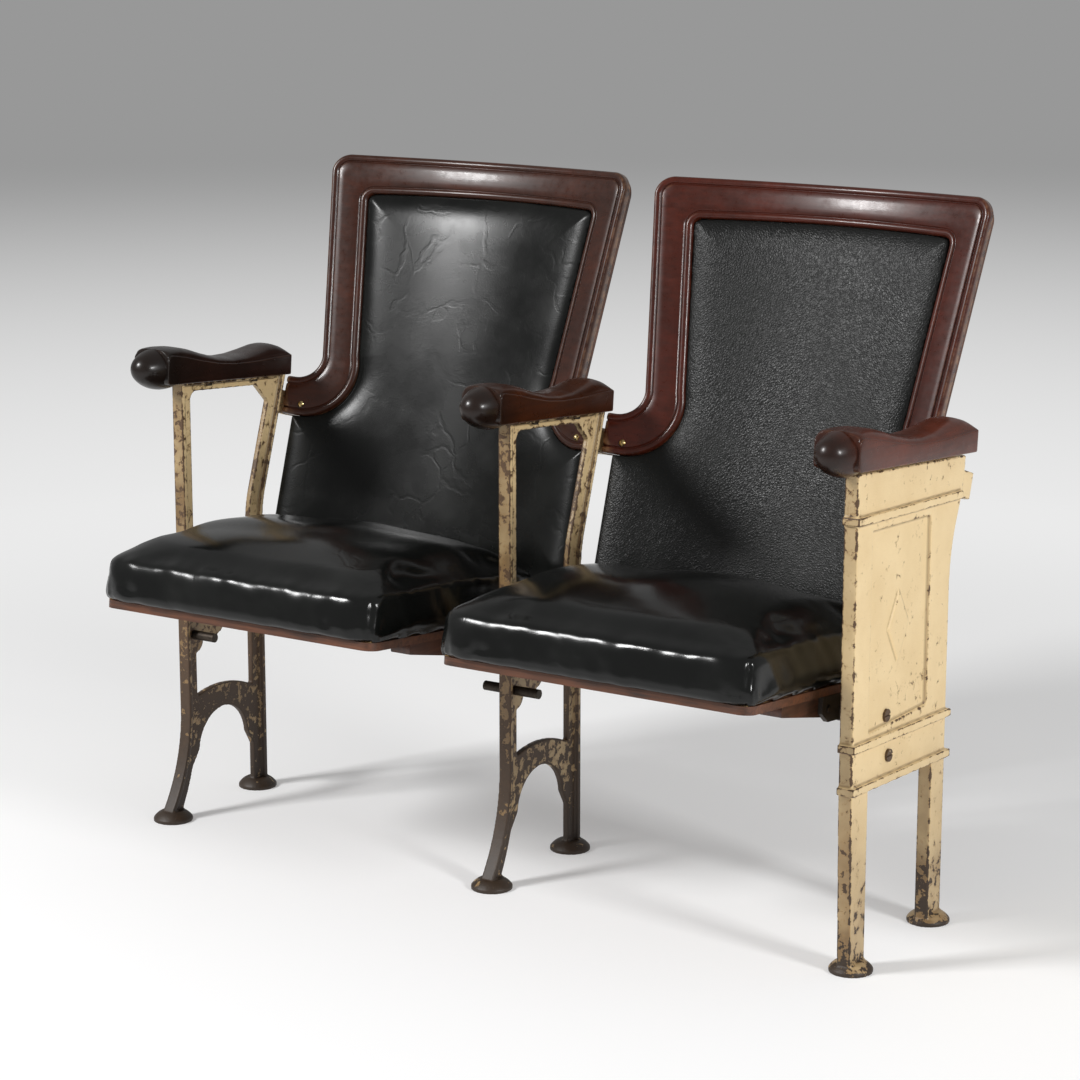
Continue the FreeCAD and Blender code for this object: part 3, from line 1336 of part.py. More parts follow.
def back_panel(label, x):
    """The padded vinyl panel, crowned over the board and sunk at its edge."""
    body = new_body(label)
    outline = new_sketch(body, "XZ_Plane", label + "_outline")
    gap = "size.panel_gap"
    inset = "(size.rail_of_back + %s)" % gap
    draw(outline, both_sides(board_outline("0", "size.panel_low", gap) + heel_corners(gap)
                             + top_corners(inset, "size.opening_corner")))
    pad(body, outline, "2 * " + waste_deep, midplane=True)
    trim_rear(body, label + "_rear", "size.back_front_layer")
    opening_half = stile_x("size.back_low", "size.rail_of_back")
    stations = (
        ("size.panel_low - size.panel_corner", "size.panel_half"),
        ("size.wing_low", "size.panel_half"),
        ("size.back_low", opening_half),
        ("size.back_crest", opening_half),
    )
    sketches = []
    for i, (height, half) in enumerate(stations):
        sketch = new_sketch(body, "XY_Plane", "%s_front_%d" % (label, i), lift=height)
        deep = "(-size.panel_crown - %s)" % face_y(half, "size.panel_sink")
        radius = "((%s^2 + %s^2) / (2 * %s))" % (half, deep, deep)
        edge_y = "(sqrt(%s^2 - %s^2) - %s - size.panel_crown)" % (radius, waste_half, radius)
        draw(sketch, [
            ("-" + waste_half, "-" + waste_deep),
            (waste_half, "-" + waste_deep),
            (waste_half, edge_y, radius),
            ("-" + waste_half, edge_y),
        ])
        sketches.append(sketch)
    loft(body, "SubtractiveLoft", sketches, label + "_crown", ruled=True)
    place_on_back(body, x)
    return body


def back_screws(label, x):
    """Wood screws from behind the board into the moulded frame."""
    body = new_body(label)
    middle = "(size.rail_of_back / 2)"
    top = "(size.back_top - %s)" % middle
    spots = [(negative(stile_x(top, middle)), top), ("0", "size.back_crest - " + middle),
             (stile_x(top, middle), top)]
    for height in ("size.back_low", "((size.back_low + size.back_top) / 2)"):
        spots += [(negative(stile_x(height, middle)), height), (stile_x(height, middle), height)]
    for i, (across, height) in enumerate(spots):
        rear = "(%s + size.face_gap)" % face_y(across, layers)
        for word, radius, long, reverse in (
                ("head", "size.wood_screw_head", "size.wood_screw_rise", True),
                ("shank", "size.wood_screw", "(size.back_rear_layer + size.back_front_layer / 2)", False)):
            # The origin plane's normal points to the front.
            sketch = new_sketch(body, "XZ_Plane", "%s_%s_%d" % (label, word, i), lift=negative(rear))
            draw_circle(sketch, across, height, radius)
            pad(body, sketch, long, reverse=reverse)
    place_on_back(body, x)
    return body


def back_fixing(label, radius, start, length, bore=None):
    """Bolts, washers or nuts of the four wings, along the back's depth."""
    body = new_body(label)
    for i, (x, side) in enumerate(seat_sides):
        sign = "" if side > 0 else "-"
        sketch = body.newObject("Sketcher::SketchObject", "%s_%d" % (label, i))
        sketch.AttachmentSupport = [(origin_plane(body, "XZ_Plane"), "")]
        sketch.MapMode = "FlatFace"
        sketch.setExpression(".AttachmentOffset.Base.z", negative(start))
        across = "%s + %ssize.bolt_in" % (x, sign)
        draw_circle(sketch, across, "size.bolt_slope", radius)
        if bore:
            draw_circle(sketch, across, "size.bolt_slope", bore)
        pad(body, sketch, length, reverse=True)
    place_on_back(body, "0")
    return body


wing_face = face_y(bolt_x, "0")
ear_rear = "(%s + size.back_washer_thick)" % ear_seat


def back_bolts(label):
    """Domed studs on the wings, with shanks through wing, board and ear."""
    body = back_fixing(label, "size.bolt_radius", wing_face,
                       "%s + size.nut_thick + size.back_washer_thick - (%s)" % (ear_rear, wing_face))
    for i, (x, side) in enumerate(seat_sides):
        sign = "" if side > 0 else "-"
        across = "(%s + %ssize.bolt_in)" % (x, sign)
        sketch = new_sketch(body, "YZ_Plane", "%s_dome_%d" % (label, i), along=wing_face,
                            across="size.bolt_slope", lift=across)
        draw(sketch, [
            ("-size.stud_rise", "0"),
            ("size.face_gap", "0"),
            ("size.face_gap", "size.stud_head"),
            ("0", "size.stud_head", "((size.stud_head^2 + size.stud_rise^2) / (2 * size.stud_rise))"),
        ])
        turned(body, sketch, "H_Axis")
    return body


left_seat_x = "-size.seat_pitch / 2"
right_seat_x = "size.seat_pitch / 2"
boss_bearing = "size.boss_reach"
recess_bearing = "(size.post_width / 2 - size.recess_deep)"
hollow_face = "(size.post_width / 2 - size.back_deep)"

sub_parts = [
    open_standard("standard_left", "-size.seat_pitch", ("right",)),
    open_standard("standard_middle", "0", ("left", "right")),
    end_standard("standard_end", "size.seat_pitch"),
    arm("arm_left", "-size.seat_pitch", "size.arm_level", "size.arm_tip", "size.arm_rear"),
    arm("arm_middle", "0", "size.arm_level", "size.arm_tip", "size.arm_rear"),
    arm("arm_end", "size.seat_pitch", "size.end_arm_level", "size.end_arm_tip", "size.end_arm_rear"),
    arm_screws("arm_screws"),
    pivot_pin("pivot_pin_left", "-size.seat_pitch", ("right",), boss_bearing),
    pivot_pin("pivot_pin_middle", "0", ("left", "right"), boss_bearing),
    pivot_pin("pivot_pin_end", "size.seat_pitch", ("left",), recess_bearing),
    stop_stud("stop_stud_left", "-size.seat_pitch", ("right",), "size.web_thick / 2", "size.web_thick / 2"),
    stop_stud("stop_stud_middle", "0", ("left", "right"), "size.web_thick / 2", "size.web_thick / 2"),
    stop_stud("stop_stud_end", "size.seat_pitch", ("left",), "size.post_width / 2", hollow_face),
    hinge_washers("hinge_washers"),
    rest_buffers("rest_buffers"),
    back_bolts("back_bolts"),
    back_fixing("back_washers", "size.back_washer_radius", ear_seat, "size.back_washer_thick",
                bore="size.bolt_radius"),
    back_fixing("back_nuts", "size.nut_radius", ear_rear, "size.nut_thick", bore="size.bolt_radius"),
]
for word, x in (("left", left_seat_x), ("right", right_seat_x)):
    sub_parts += [
        back_frame("back_%s_frame" % word, x),
        back_board("back_%s_board" % word, x),
        back_panel("back_%s_panel" % word, x),
        back_screws("back_%s_screws" % word, x),
        seat_board("seat_%s_board" % word, x),
        seat_rails("seat_%s_rails" % word, x),
        hinge_bracket("seat_%s_bracket_left" % word, x, -1),
        hinge_bracket("seat_%s_bracket_right" % word, x, 1),
        hinge_bushes("seat_%s_bushes" % word, x),
        bracket_screws("seat_%s_bracket_screws" % word, x),
        box_frame("seat_%s_box_frame" % word, x),
        board_screws("seat_%s_board_screws" % word, x),
        sinuous_springs("seat_%s_springs" % word, x),
        cushion_foam("seat_%s_foam" % word, x),
        cushion_cover("seat_%s_cover" % word, x),
    ]
doc.recompute()

faults = [made.Label for made in doc.Objects if "Invalid" in made.State or "Error" in made.State]
faults += [made.Label for made in sub_parts if made.Shape.isNull() or not made.Shape.isValid()]
if faults:
    raise RuntimeError("failed: " + ", ".join(faults))

os.makedirs("parts", exist_ok=True)
whole = Part.makeCompound([made.Shape for made in sub_parts]).BoundBox
sides = (whole.XMin, whole.XMax, whole.YMin, whole.YMax, whole.ZMin, whole.ZMax)
print("box", [round(side, 2) for side in sides])
for made in sub_parts:
    made.Shape.exportStep("parts/%s.step" % made.Label)
    print(made.Label, len(made.Shape.Solids), round(made.Shape.Volume / 1000, 2), "cm3")
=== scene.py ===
import json
import math

import bmesh
import bpy
import numpy as np
from mathutils import Matrix, Vector


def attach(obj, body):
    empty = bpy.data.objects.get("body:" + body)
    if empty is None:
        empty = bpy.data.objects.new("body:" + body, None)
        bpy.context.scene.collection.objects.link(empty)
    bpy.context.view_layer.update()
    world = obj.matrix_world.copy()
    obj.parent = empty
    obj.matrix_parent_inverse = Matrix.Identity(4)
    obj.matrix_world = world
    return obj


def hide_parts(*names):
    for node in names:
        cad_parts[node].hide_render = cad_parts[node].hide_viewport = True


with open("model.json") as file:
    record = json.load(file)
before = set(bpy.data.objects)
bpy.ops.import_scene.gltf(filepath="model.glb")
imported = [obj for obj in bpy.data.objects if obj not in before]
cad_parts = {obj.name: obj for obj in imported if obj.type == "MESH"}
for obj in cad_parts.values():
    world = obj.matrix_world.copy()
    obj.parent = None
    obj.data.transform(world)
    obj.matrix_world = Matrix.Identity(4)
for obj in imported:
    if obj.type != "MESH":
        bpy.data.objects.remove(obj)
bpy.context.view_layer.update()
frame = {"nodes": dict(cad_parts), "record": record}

# The studio: a pale floor painted darker away from the seats as a painted pool of light, two
# small softboxes ahead of the seats and a dim room. The camera stands to the right of the row.
MM = 0.001


def linear(text):
    """The linear colour of an sRGB hex value."""
    channels = [int(text[i:i + 2], 16) / 255 for i in (1, 3, 5)]
    return tuple(c / 12.92 if c <= 0.04045 else ((c + 0.055) / 1.055) ** 2.4 for c in channels) + (1,)


def add(tree, kind, links=None, **settings):
    """Adds a shader node. Each entry of links is a value or another node's socket."""
    made = tree.nodes.new("ShaderNode" + kind)
    for name, value in settings.items():
        setattr(made, name, value)
    for place, value in (links or {}).items():
        if isinstance(value, bpy.types.NodeSocket):
            tree.links.new(value, made.inputs[place])
        else:
            made.inputs[place].default_value = value
    return made


def new_material(name):
    """An empty material, its node tree and its output node."""
    material = bpy.data.materials.new(name)
    material.use_nodes = True
    material.node_tree.nodes.clear()
    return material, material.node_tree, add(material.node_tree, "OutputMaterial")


def new_mesh(name, points, faces):
    mesh = bpy.data.meshes.new(name)
    mesh.from_pydata(points, [], faces)
    mesh.update()
    piece = bpy.data.objects.new(name, mesh)
    bpy.context.collection.objects.link(piece)
    return piece


scene = bpy.context.scene
scene.view_settings.view_transform = "Standard"

camera_turn = math.radians(32.81)
camera_drop = math.radians(12.78)
camera_data = bpy.data.cameras.new("camera")
camera_data.lens = 104.25
camera_data.sensor_width = 36
camera = bpy.data.objects.new("camera", camera_data)
camera.location = (2.0518, -3.18264, 1.2808)
camera.rotation_euler = (math.pi / 2 - camera_drop, 0, camera_turn)
bpy.context.collection.objects.link(camera)
scene.camera = camera

floor_half = 40
floor = new_mesh("floor", [(-floor_half, -floor_half, 0), (floor_half, -floor_half, 0),
                           (floor_half, floor_half, 0), (-floor_half, floor_half, 0)], [(0, 1, 2, 3)])
floor_paint, tree, output = new_material("studio_floor")
place = add(tree, "TexCoord").outputs["Object"]
reach = add(tree, "VectorMath", {0: place}, operation="LENGTH").outputs["Value"]
# The floor's colour is a painted pool of light: near white by the seats, painted grey further away.
near = add(tree, "MapRange", {"Value": reach, "From Min": 0.7, "From Max": 2.6}, interpolation_type="SMOOTHSTEP")
far = add(tree, "MapRange", {"Value": reach, "From Min": 1.4, "From Max": 9.0}, interpolation_type="SMOOTHSTEP")
tone = add(tree, "Mix", {0: near.outputs[0], 6: linear("#fcfcfc"), 7: linear("#ececec")}, data_type="RGBA")
tone = add(tree, "Mix", {0: far.outputs[0], 6: tone.outputs[2], 7: linear("#989898")}, data_type="RGBA")
shade = add(tree, "BsdfDiffuse", {"Color": tone.outputs[2]})
glow = add(tree, "Emission", {"Color": tone.outputs[2]})
ray = add(tree, "LightPath")
seen = add(tree, "Math", {0: ray.outputs["Is Camera Ray"], 1: ray.outputs["Is Glossy Ray"]}, operation="MAXIMUM")
seen = add(tree, "Math", {0: seen.outputs[0], 1: ray.outputs["Is Transmission Ray"]}, operation="MAXIMUM")
beyond = add(tree, "MapRange", {"Value": reach, "From Min": 1.0, "From Max": 2.4, "To Min": 0.22},
             interpolation_type="SMOOTHSTEP")
plain = add(tree, "Math", {0: seen.outputs[0], 1: beyond.outputs[0]}, operation="MULTIPLY")
mixed = add(tree, "MixShader", {0: plain.outputs[0], 1: shade.outputs[0], 2: glow.outputs[0]})
tree.links.new(mixed.outputs[0], output.inputs[0])
floor.data.materials.append(floor_paint)

world = bpy.data.worlds.new("room")
scene.world = world
world.use_nodes = True
tree = world.node_tree
tree.nodes.clear()
room_light = add(tree, "Background", {"Color": linear("#ffffff"), "Strength": 0.34})
room_seen = add(tree, "Background", {"Color": linear("#a4a4a4"), "Strength": 1.0})
ray = add(tree, "LightPath")
seen = add(tree, "Math", {0: ray.outputs["Is Camera Ray"], 1: ray.outputs["Is Glossy Ray"]}, operation="MAXIMUM")
seen = add(tree, "Math", {0: seen.outputs[0], 1: ray.outputs["Is Transmission Ray"]}, operation="MAXIMUM")
mixed = add(tree, "MixShader", {0: seen.outputs[0], 1: room_light.outputs[0], 2: room_seen.outputs[0]})
add(tree, "OutputWorld", {0: mixed.outputs[0]})

softboxes = (
    ("softbox_left", (-2.3, -3.0, 2.9), 0.9, 158),
    ("softbox_right", (3.9, -0.9, 1.9), 0.7, 88),
)
for name, spot, side, power in softboxes:
    lamp = bpy.data.lights.new(name, "AREA")
    lamp.shape = "SQUARE"
    lamp.size = side
    lamp.energy = power
    softbox = bpy.data.objects.new(name, lamp)
    softbox.location = spot
    softbox.rotation_euler = (Vector((0, 0, 0.45)) - Vector(spot)).to_track_quat("-Z", "Y").to_euler()
    bpy.context.collection.objects.link(softbox)


# The three standards are grey iron castings, so every edge is rounded by the sand mould. They
# carry old cream enamel, chipped to brown iron along the edges and rubbed bare on the legs.
def copy_of(node, name):
    """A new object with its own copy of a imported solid's mesh."""
    piece = bpy.data.objects.new(name, frame["nodes"][node].data.copy())
    piece.data.materials.clear()
    bpy.context.collection.objects.link(piece)
    return piece


def apply_all(piece):
    """Puts the result of a piece's modifiers in its mesh."""
    shaped = bpy.data.meshes.new_from_object(piece.evaluated_get(bpy.context.evaluated_depsgraph_get()))
    piece.modifiers.clear()
    piece.data = shaped


def soften(piece, cell, rounds):
    """Rounds every edge of a solid by about one cell."""
    remesh = piece.modifiers.new("cells", "REMESH")
    remesh.mode = "VOXEL"
    remesh.voxel_size = cell
    smooth = piece.modifiers.new("rounding", "SMOOTH")
    smooth.factor = 0.5
    smooth.iterations = rounds
    apply_all(piece)
    piece.data.polygons.foreach_set("use_smooth", [True] * len(piece.data.polygons))


def iron_enamel(name, bare_low, bare_high, dirty_low, dirty_high, front_shade_and_dirt, chips):
    """Old cream enamel on cast iron. Satin where it holds, with matt brown chips; it is gone
    between bare_high and bare_low, grimy from dirty_high down, and darker on faces to the front by painted shade and
    dirt."""
    material, tree, output = new_material(name)
    coordinates = add(tree, "TexCoord")
    place = coordinates.outputs["Object"]
    height = add(tree, "SeparateXYZ", {0: place}).outputs["Z"]
    turn = add(tree, "SeparateXYZ", {0: coordinates.outputs["Normal"]}).outputs["Y"]
    point = add(tree, "NewGeometry").outputs["Pointiness"]
    edge = add(tree, "MapRange", {"Value": point, "From Min": 0.51, "From Max": 0.57})
    hollow = add(tree, "MapRange", {"Value": point, "From Min": 0.492, "From Max": 0.45})
    # Flakes of 3 to 8 mm with ragged rims, specks of about 1 mm, and worn zones of 80 mm.
    flakes = add(tree, "TexNoise", {"Vector": place, "Scale": 85, "Detail": 8, "Roughness": 0.66, "Distortion": 0.4})
    specks = add(tree, "TexNoise", {"Vector": place, "Scale": 460, "Detail": 3, "Roughness": 0.6})
    zones = add(tree, "TexNoise", {"Vector": place, "Scale": 12, "Detail": 4})
    # Faces turned to the front wear a little more and carry painted shade with some dirt.
    front = add(tree, "MapRange", {"Value": turn, "From Min": -0.5, "From Max": -0.85})
    rubbed = add(tree, "MapRange", {"Value": height, "From Min": bare_high, "From Max": bare_low,
                                    "To Min": 0.0, "To Max": 0.23})
    wear = add(tree, "Math", {0: edge.outputs[0], 1: 0.28, 2: flakes.outputs[0]}, operation="MULTIPLY_ADD")
    wear = add(tree, "Math", {0: zones.outputs[0], 1: 0.32, 2: wear.outputs[0]}, operation="MULTIPLY_ADD")
    wear = add(tree, "Math", {0: specks.outputs[0], 1: 0.10, 2: wear.outputs[0]}, operation="MULTIPLY_ADD")
    wear = add(tree, "Math", {0: wear.outputs[0], 1: rubbed.outputs[0]}, operation="ADD")
    wear = add(tree, "Math", {0: front.outputs[0], 1: 0.05, 2: wear.outputs[0]}, operation="MULTIPLY_ADD")
    bare = add(tree, "MapRange", {"Value": wear.outputs[0], "From Min": chips, "From Max": chips + 0.02})
    rim = add(tree, "MapRange", {"Value": wear.outputs[0], "From Min": chips - 0.07, "From Max": chips})
    # The enamel has yellowed in clouds and is grimy low down; its hollows are darkened by dirt and by painted shade.
    clouds = add(tree, "TexNoise", {"Vector": place, "Scale": 16, "Detail": 6, "Roughness": 0.62})
    cream = add(tree, "Mix", {0: clouds.outputs[0], 6: linear("#efd7a9"), 7: linear("#d3b684")}, data_type="RGBA")
    # Hollows are darkened by dirt and by painted shade.
    hollow_dirt_and_shade = add(tree, "Math", {0: hollow.outputs[0], 1: 0.92}, operation="MULTIPLY")
    cream = add(tree, "Mix", {0: hollow_dirt_and_shade.outputs[0], 6: cream.outputs[2], 7: linear("#5a4026")}, data_type="RGBA")
    # Grime low down, and painted shade with dirt on the faces turned to the front.
    grime_and_front_shade = add(tree, "MapRange", {"Value": height, "From Min": dirty_high, "From Max": dirty_low, "To Max": 0.9})
    grime_and_front_shade = add(tree, "Math", {0: front.outputs[0], 1: front_shade_and_dirt, 2: grime_and_front_shade.outputs[0]}, operation="MULTIPLY_ADD")
    cloudy = add(tree, "MapRange", {"Value": zones.outputs[0], "From Min": 0.35, "From Max": 0.6, "To Min": 0.55})
    grime_and_front_shade = add(tree, "Math", {0: grime_and_front_shade.outputs[0], 1: cloudy.outputs[0]}, operation="MULTIPLY")
    grime_and_front_shade.use_clamp = True
    cream = add(tree, "Mix", {0: grime_and_front_shade.outputs[0], 6: cream.outputs[2], 7: linear("#7a6140")}, data_type="RGBA")
    dusk = add(tree, "MapRange", {"Value": rim.outputs[0], "To Max": 0.6})
    cream = add(tree, "Mix", {0: dusk.outputs[0], 6: cream.outputs[2], 7: linear("#94754a")}, data_type="RGBA")
    iron = add(tree, "Mix", {0: flakes.outputs[0], 6: linear("#2b2017"), 7: linear("#664a2e")}, data_type="RGBA")
    dark = add(tree, "MapRange", {"Value": height, "From Min": 0.26, "From Max": 0.02, "To Max": 0.7})
    iron = add(tree, "Mix", {0: dark.outputs[0], 6: iron.outputs[2], 7: linear("#1a1510")}, data_type="RGBA")
    colour = add(tree, "Mix", {0: bare.outputs[0], 6: cream.outputs[2], 7: iron.outputs[2]}, data_type="RGBA")
    rough = add(tree, "MapRange", {"Value": bare.outputs[0], "To Min": 0.38, "To Max": 0.52})
    # The enamel is about 0.3 mm thick at a chip, over sand grain.
    coat = add(tree, "Math", {0: bare.outputs[0], 1: -0.6, 2: specks.outputs[0]}, operation="MULTIPLY_ADD")
    relief = add(tree, "Bump", {"Height": coat.outputs[0], "Strength": 0.5, "Distance": 0.0006})
    shade = add(tree, "BsdfPrincipled", {"Base Color": colour.outputs[2], "Roughness": rough.outputs[0],
                                         "Normal": relief.outputs[0]})
    tree.links.new(shade.outputs[0], output.inputs[0])
    return material


open_enamel = iron_enamel("enamelled_cast_iron_open", 0.0, 0.42, 0.24, 0.46, 0.95, 0.81)
end_enamel = iron_enamel("enamelled_cast_iron_end", -0.06, 0.15, 0.0, 0.26, 0.55, 0.875)
casting_cell = 1.4 * MM
for word, enamel in (("left", open_enamel), ("middle", open_enamel), ("end", end_enamel)):
    standard = copy_of("standard_" + word, "cast_standard_" + word)
    soften(standard, casting_cell, 2)
    standard.data.materials.append(enamel)
    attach(standard, "root")
    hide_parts("standard_" + word)


# The arms are carved from hardwood, stained red brown and French polished, darkened by hands on
# the knob and worn pale along the arris.
def polished_wood(name, light, deep, edge_tone, grain, handled=None):
    """Stained and polished hardwood: long pores along X, Y or Z, a warm stain that has gone
    dark in clouds, pale worn edges and a thin glossy varnish."""
    material, tree, output = new_material(name)
    place = add(tree, "TexCoord").outputs["Object"]
    along = add(tree, "Mapping", {"Vector": place, "Scale": grain})
    # Pores are about 1 mm wide and 30 mm long.
    pores = add(tree, "TexNoise", {"Vector": along.outputs[0], "Scale": 160, "Detail": 4, "Roughness": 0.65})
    clouds = add(tree, "TexNoise", {"Vector": place, "Scale": 13, "Detail": 4, "Roughness": 0.55})
    scuffs = add(tree, "TexNoise", {"Vector": place, "Scale": 90, "Detail": 6, "Roughness": 0.7})
    edge = add(tree, "MapRange", {"Value": add(tree, "NewGeometry").outputs["Pointiness"],
                                  "From Min": 0.53, "From Max": 0.60})
    tone = add(tree, "Mix", {0: clouds.outputs[0], 6: linear(light), 7: linear(deep)}, data_type="RGBA")
    streak = add(tree, "MapRange", {"Value": pores.outputs[0], "From Min": 0.35, "From Max": 0.65, "To Max": 0.45})
    tone = add(tree, "Mix", {0: streak.outputs[0], 6: tone.outputs[2], 7: linear(deep)}, data_type="RGBA")
    worn = add(tree, "MapRange", {"Value": scuffs.outputs[0], "From Min": 0.42, "From Max": 0.62})
    worn = add(tree, "Math", {0: worn.outputs[0], 1: edge.outputs[0]}, operation="MULTIPLY")
    tone = add(tree, "Mix", {0: worn.outputs[0], 6: tone.outputs[2], 7: linear(edge_tone)}, data_type="RGBA")
    if handled:
        forward = add(tree, "SeparateXYZ", {0: place}).outputs["Y"]
        held = add(tree, "MapRange", {"Value": forward, "From Min": handled[1], "From Max": handled[0], "To Max": 0.9})
        tone = add(tree, "Mix", {0: held.outputs[0], 6: tone.outputs[2], 7: linear("#17100c")}, data_type="RGBA")
    rough = add(tree, "MapRange", {"Value": scuffs.outputs[0], "From Min": 0.3, "From Max": 0.7,
                                   "To Min": 0.24, "To Max": 0.40})
    relief = add(tree, "Bump", {"Height": pores.outputs[0], "Strength": 0.18, "Distance": 0.0003})
    shade = add(tree, "BsdfPrincipled", {"Base Color": tone.outputs[2], "Roughness": rough.outputs[0],
                                         "Normal": relief.outputs[0], "Specular IOR Level": 0.3,
                                         "Coat Weight": 0.12, "Coat Roughness": 0.1})
    tree.links.new(shade.outputs[0], output.inputs[0])
    return material


def eased(knots, spots, blur):
    """Heights at the given spots of a line through the knots, rounded over the blur."""
    fine = np.arange(knots[0][0] - blur, knots[-1][0] + blur, 0.5)
    heights = np.interp(fine, [k[0] for k in knots], [k[1] for k in knots])
    window = np.hanning(int(blur * 4) | 1)
    padded = np.pad(heights, len(window) // 2, mode="edge")
    return np.interp(spots, fine, np.convolve(padded, window / window.sum(), mode="valid"))


arm_half = 28.5
arm_front, arm_back = -126, 134
crown_knots = ((-126, 44.6), (-110, 46.6), (-92, 46.4), (-70, 43.2), (-44, 36.6), (-14, 30.6), (14, 28.6),
               (44, 30.4), (72, 35.6), (94, 40.4), (108, 41.4), (120, 38.6), (129, 33.4), (134, 27.6))
arris_knots = ((-118, 38.0), (-90, 34.6), (-60, 29.0), (-20, 23.0), (15, 20.8), (60, 22.0), (100, 24.8), (134, 26.8))
arm_fall = math.radians(-4.95)
arm_ahead = -6.54
nose = 8
knob_radius, knob_half, knob_axis, nose_radius = 27.4, 46, 19, 20
knob_steps, knob_rings = 48, 30
arm_finishes = (
    ("left", -508, 579, 156, 134, "#38211a", "#140c08", (-0.12, -0.05)),
    ("middle", 0, 579, 156, 134, "#54280f", "#1c0e07", (-0.14, -0.09)),
    ("end", 508, 581.9, 216, 120, "#70301a", "#2a1208", (-0.21, -0.15)),
)
for word, x, level, tip, rear, light, deep, handled in arm_finishes:
    arris = 30 - tip
    stretch = (rear - arris) / (arm_back - arm_front)
    stations = np.concatenate(([0, 0.5, 1.6, 3.2, 5.2, 8], np.linspace(12, 245, 70),
                               np.linspace(247, 259.2, 10), [260]))
    base = stations + arm_front
    crowns = eased(crown_knots, base, 5)
    sides = eased(arris_knots, base, 9)
    points = []
    for d, crown, side in zip(stations, crowns, sides):
        lift = math.sqrt(nose ** 2 - (nose - d) ** 2) if d < nose else nose
        floor_z, top_z = nose - lift, side - nose + lift
        nib = 0.8 if d < 0.2 else 0.2 if d < 1 else 0
        end_nib = 1.2 if d > 259.9 else 0.4 if d > 258.8 else 0
        half = arm_half - nib - end_nib
        ring = [(half - 2.2, floor_z), (half - 0.6, floor_z + 0.6), (half, floor_z + 2.2),
                (half, (floor_z + top_z) / 2), (half, top_z - 1.6), (half - 0.2, top_z - 0.6),
                (half - 0.9, top_z), (half - 1.9, top_z + 0.2)]
        rise = crown - top_z - 0.2
        for step in range(1, 13):
            turn = math.pi / 2 * step / 12
            ring.append(((half - 1.9) * math.cos(turn) ** 0.72, top_z + 0.2 + rise * math.sin(turn) ** 0.9))
        ring += [(-across, height) for across, height in reversed(ring[:-1])]
        points += [(across, arris + d * stretch, height) for across, height in ring]
    round_count = len(ring)
    faces = []
    for row in range(len(stations) - 1):
        near, ahead = row * round_count, (row + 1) * round_count
        faces += [(near + i, near + (i + 1) % round_count, ahead + (i + 1) % round_count, ahead + i)
                  for i in range(round_count)]
    faces.append(list(range(round_count)))
    faces.append(list(range((len(stations) - 1) * round_count, len(stations) * round_count)))
    # The knob is turned about an axis 19 mm over the arm's underside.
    start = len(points)
    big = ((knob_half - nose_radius) ** 2 + knob_radius ** 2 - nose_radius ** 2) / (2 * (knob_radius - nose_radius))
    meet = nose_radius * (knob_half - nose_radius) / (big - nose_radius)
    for share in np.linspace(0, 1, knob_rings):
        run = knob_half * (1 - math.cos(math.pi / 2 * share)) * 1.45
        if run < nose_radius - meet:
            radius = math.sqrt(max(nose_radius ** 2 - (nose_radius - run) ** 2, 0.01))
        else:
            radius = math.sqrt(big ** 2 - (knob_half - run) ** 2) - big + knob_radius
        for i in range(knob_steps):
            turn = 2 * math.pi * i / knob_steps
            points.append((radius * math.sin(turn), run - tip, knob_axis + radius * math.cos(turn)))
    for row in range(knob_rings - 1):
        near, ahead = start + row * knob_steps, start + (row + 1) * knob_steps
        faces += [(near + i, near + (i + 1) % knob_steps, ahead + (i + 1) % knob_steps, ahead + i)
                  for i in range(knob_steps)]
    faces.append(list(range(start, start + knob_steps)))
    faces.append(list(range(start + (knob_rings - 1) * knob_steps, start + knob_rings * knob_steps)))
    place = Matrix.Translation(Vector((x, arm_ahead, level)) * MM) @ Matrix.Rotation(arm_fall, 4, "X")
    carved = new_mesh("carved_arm_" + word, [place @ (Vector(point) * MM) for point in points], faces)
    shape = bmesh.new()
    shape.from_mesh(carved.data)
    bmesh.ops.recalc_face_normals(shape, faces=shape.faces)
    for face in shape.faces:
        face.smooth = len(face.verts) == 4
    shape.to_mesh(carved.data)
    shape.free()
    carved.data.materials.append(polished_wood("polished_hardwood_arm_" + word, light, deep, "#b57f5e",
                                               (1, 0.05, 1), handled))
    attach(carved, "root")
    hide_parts("arm_" + word)


# Each back has a moulded frame of stained hardwood, bent to a curve round the sitter. A quirk
# runs 10 mm inside its outer edge, and a bead runs along the edge that holds the vinyl.
seat_off_middle = 0.254
back_ahead, back_level = 0.20206, 0.600
back_lean = math.radians(-17.5)
back_radius = 648
stile_slope = (235 - 204) / (256 + 20)


def back_place(side, x, behind, up):
    """A point of the seats' frame from millimetres across, behind the face and up the slope."""
    depth = math.sqrt((back_radius + behind) ** 2 - x ** 2) - back_radius
    turned = Matrix.Rotation(back_lean, 3, "X") @ Vector((x, depth, up)) * MM
    return turned + Vector((side * seat_off_middle, back_ahead, back_level))


def arc(start, end, radius, bulge_left, count):
    """Points from start to just before end, along an arc; radius None makes a straight run."""
    start, end = Vector(start), Vector(end)
    if radius is None:
        return [start.lerp(end, i / count) for i in range(count)]
    chord = end - start
    left = Vector((-chord.y, chord.x)).normalized()
    reach = math.sqrt(radius ** 2 - (chord.length / 2) ** 2)
    centre = (start + end) / 2 + left * (-reach if bulge_left else reach)
    first, last = start - centre, end - centre
    sweep = math.atan2(first.x * last.y - first.y * last.x, first.dot(last))
    return [centre + Matrix.Rotation(sweep * i / count, 2) @ first for i in range(count)]


def stile_edge(up, inset):
    return 204 - inset + (up + 20) * stile_slope


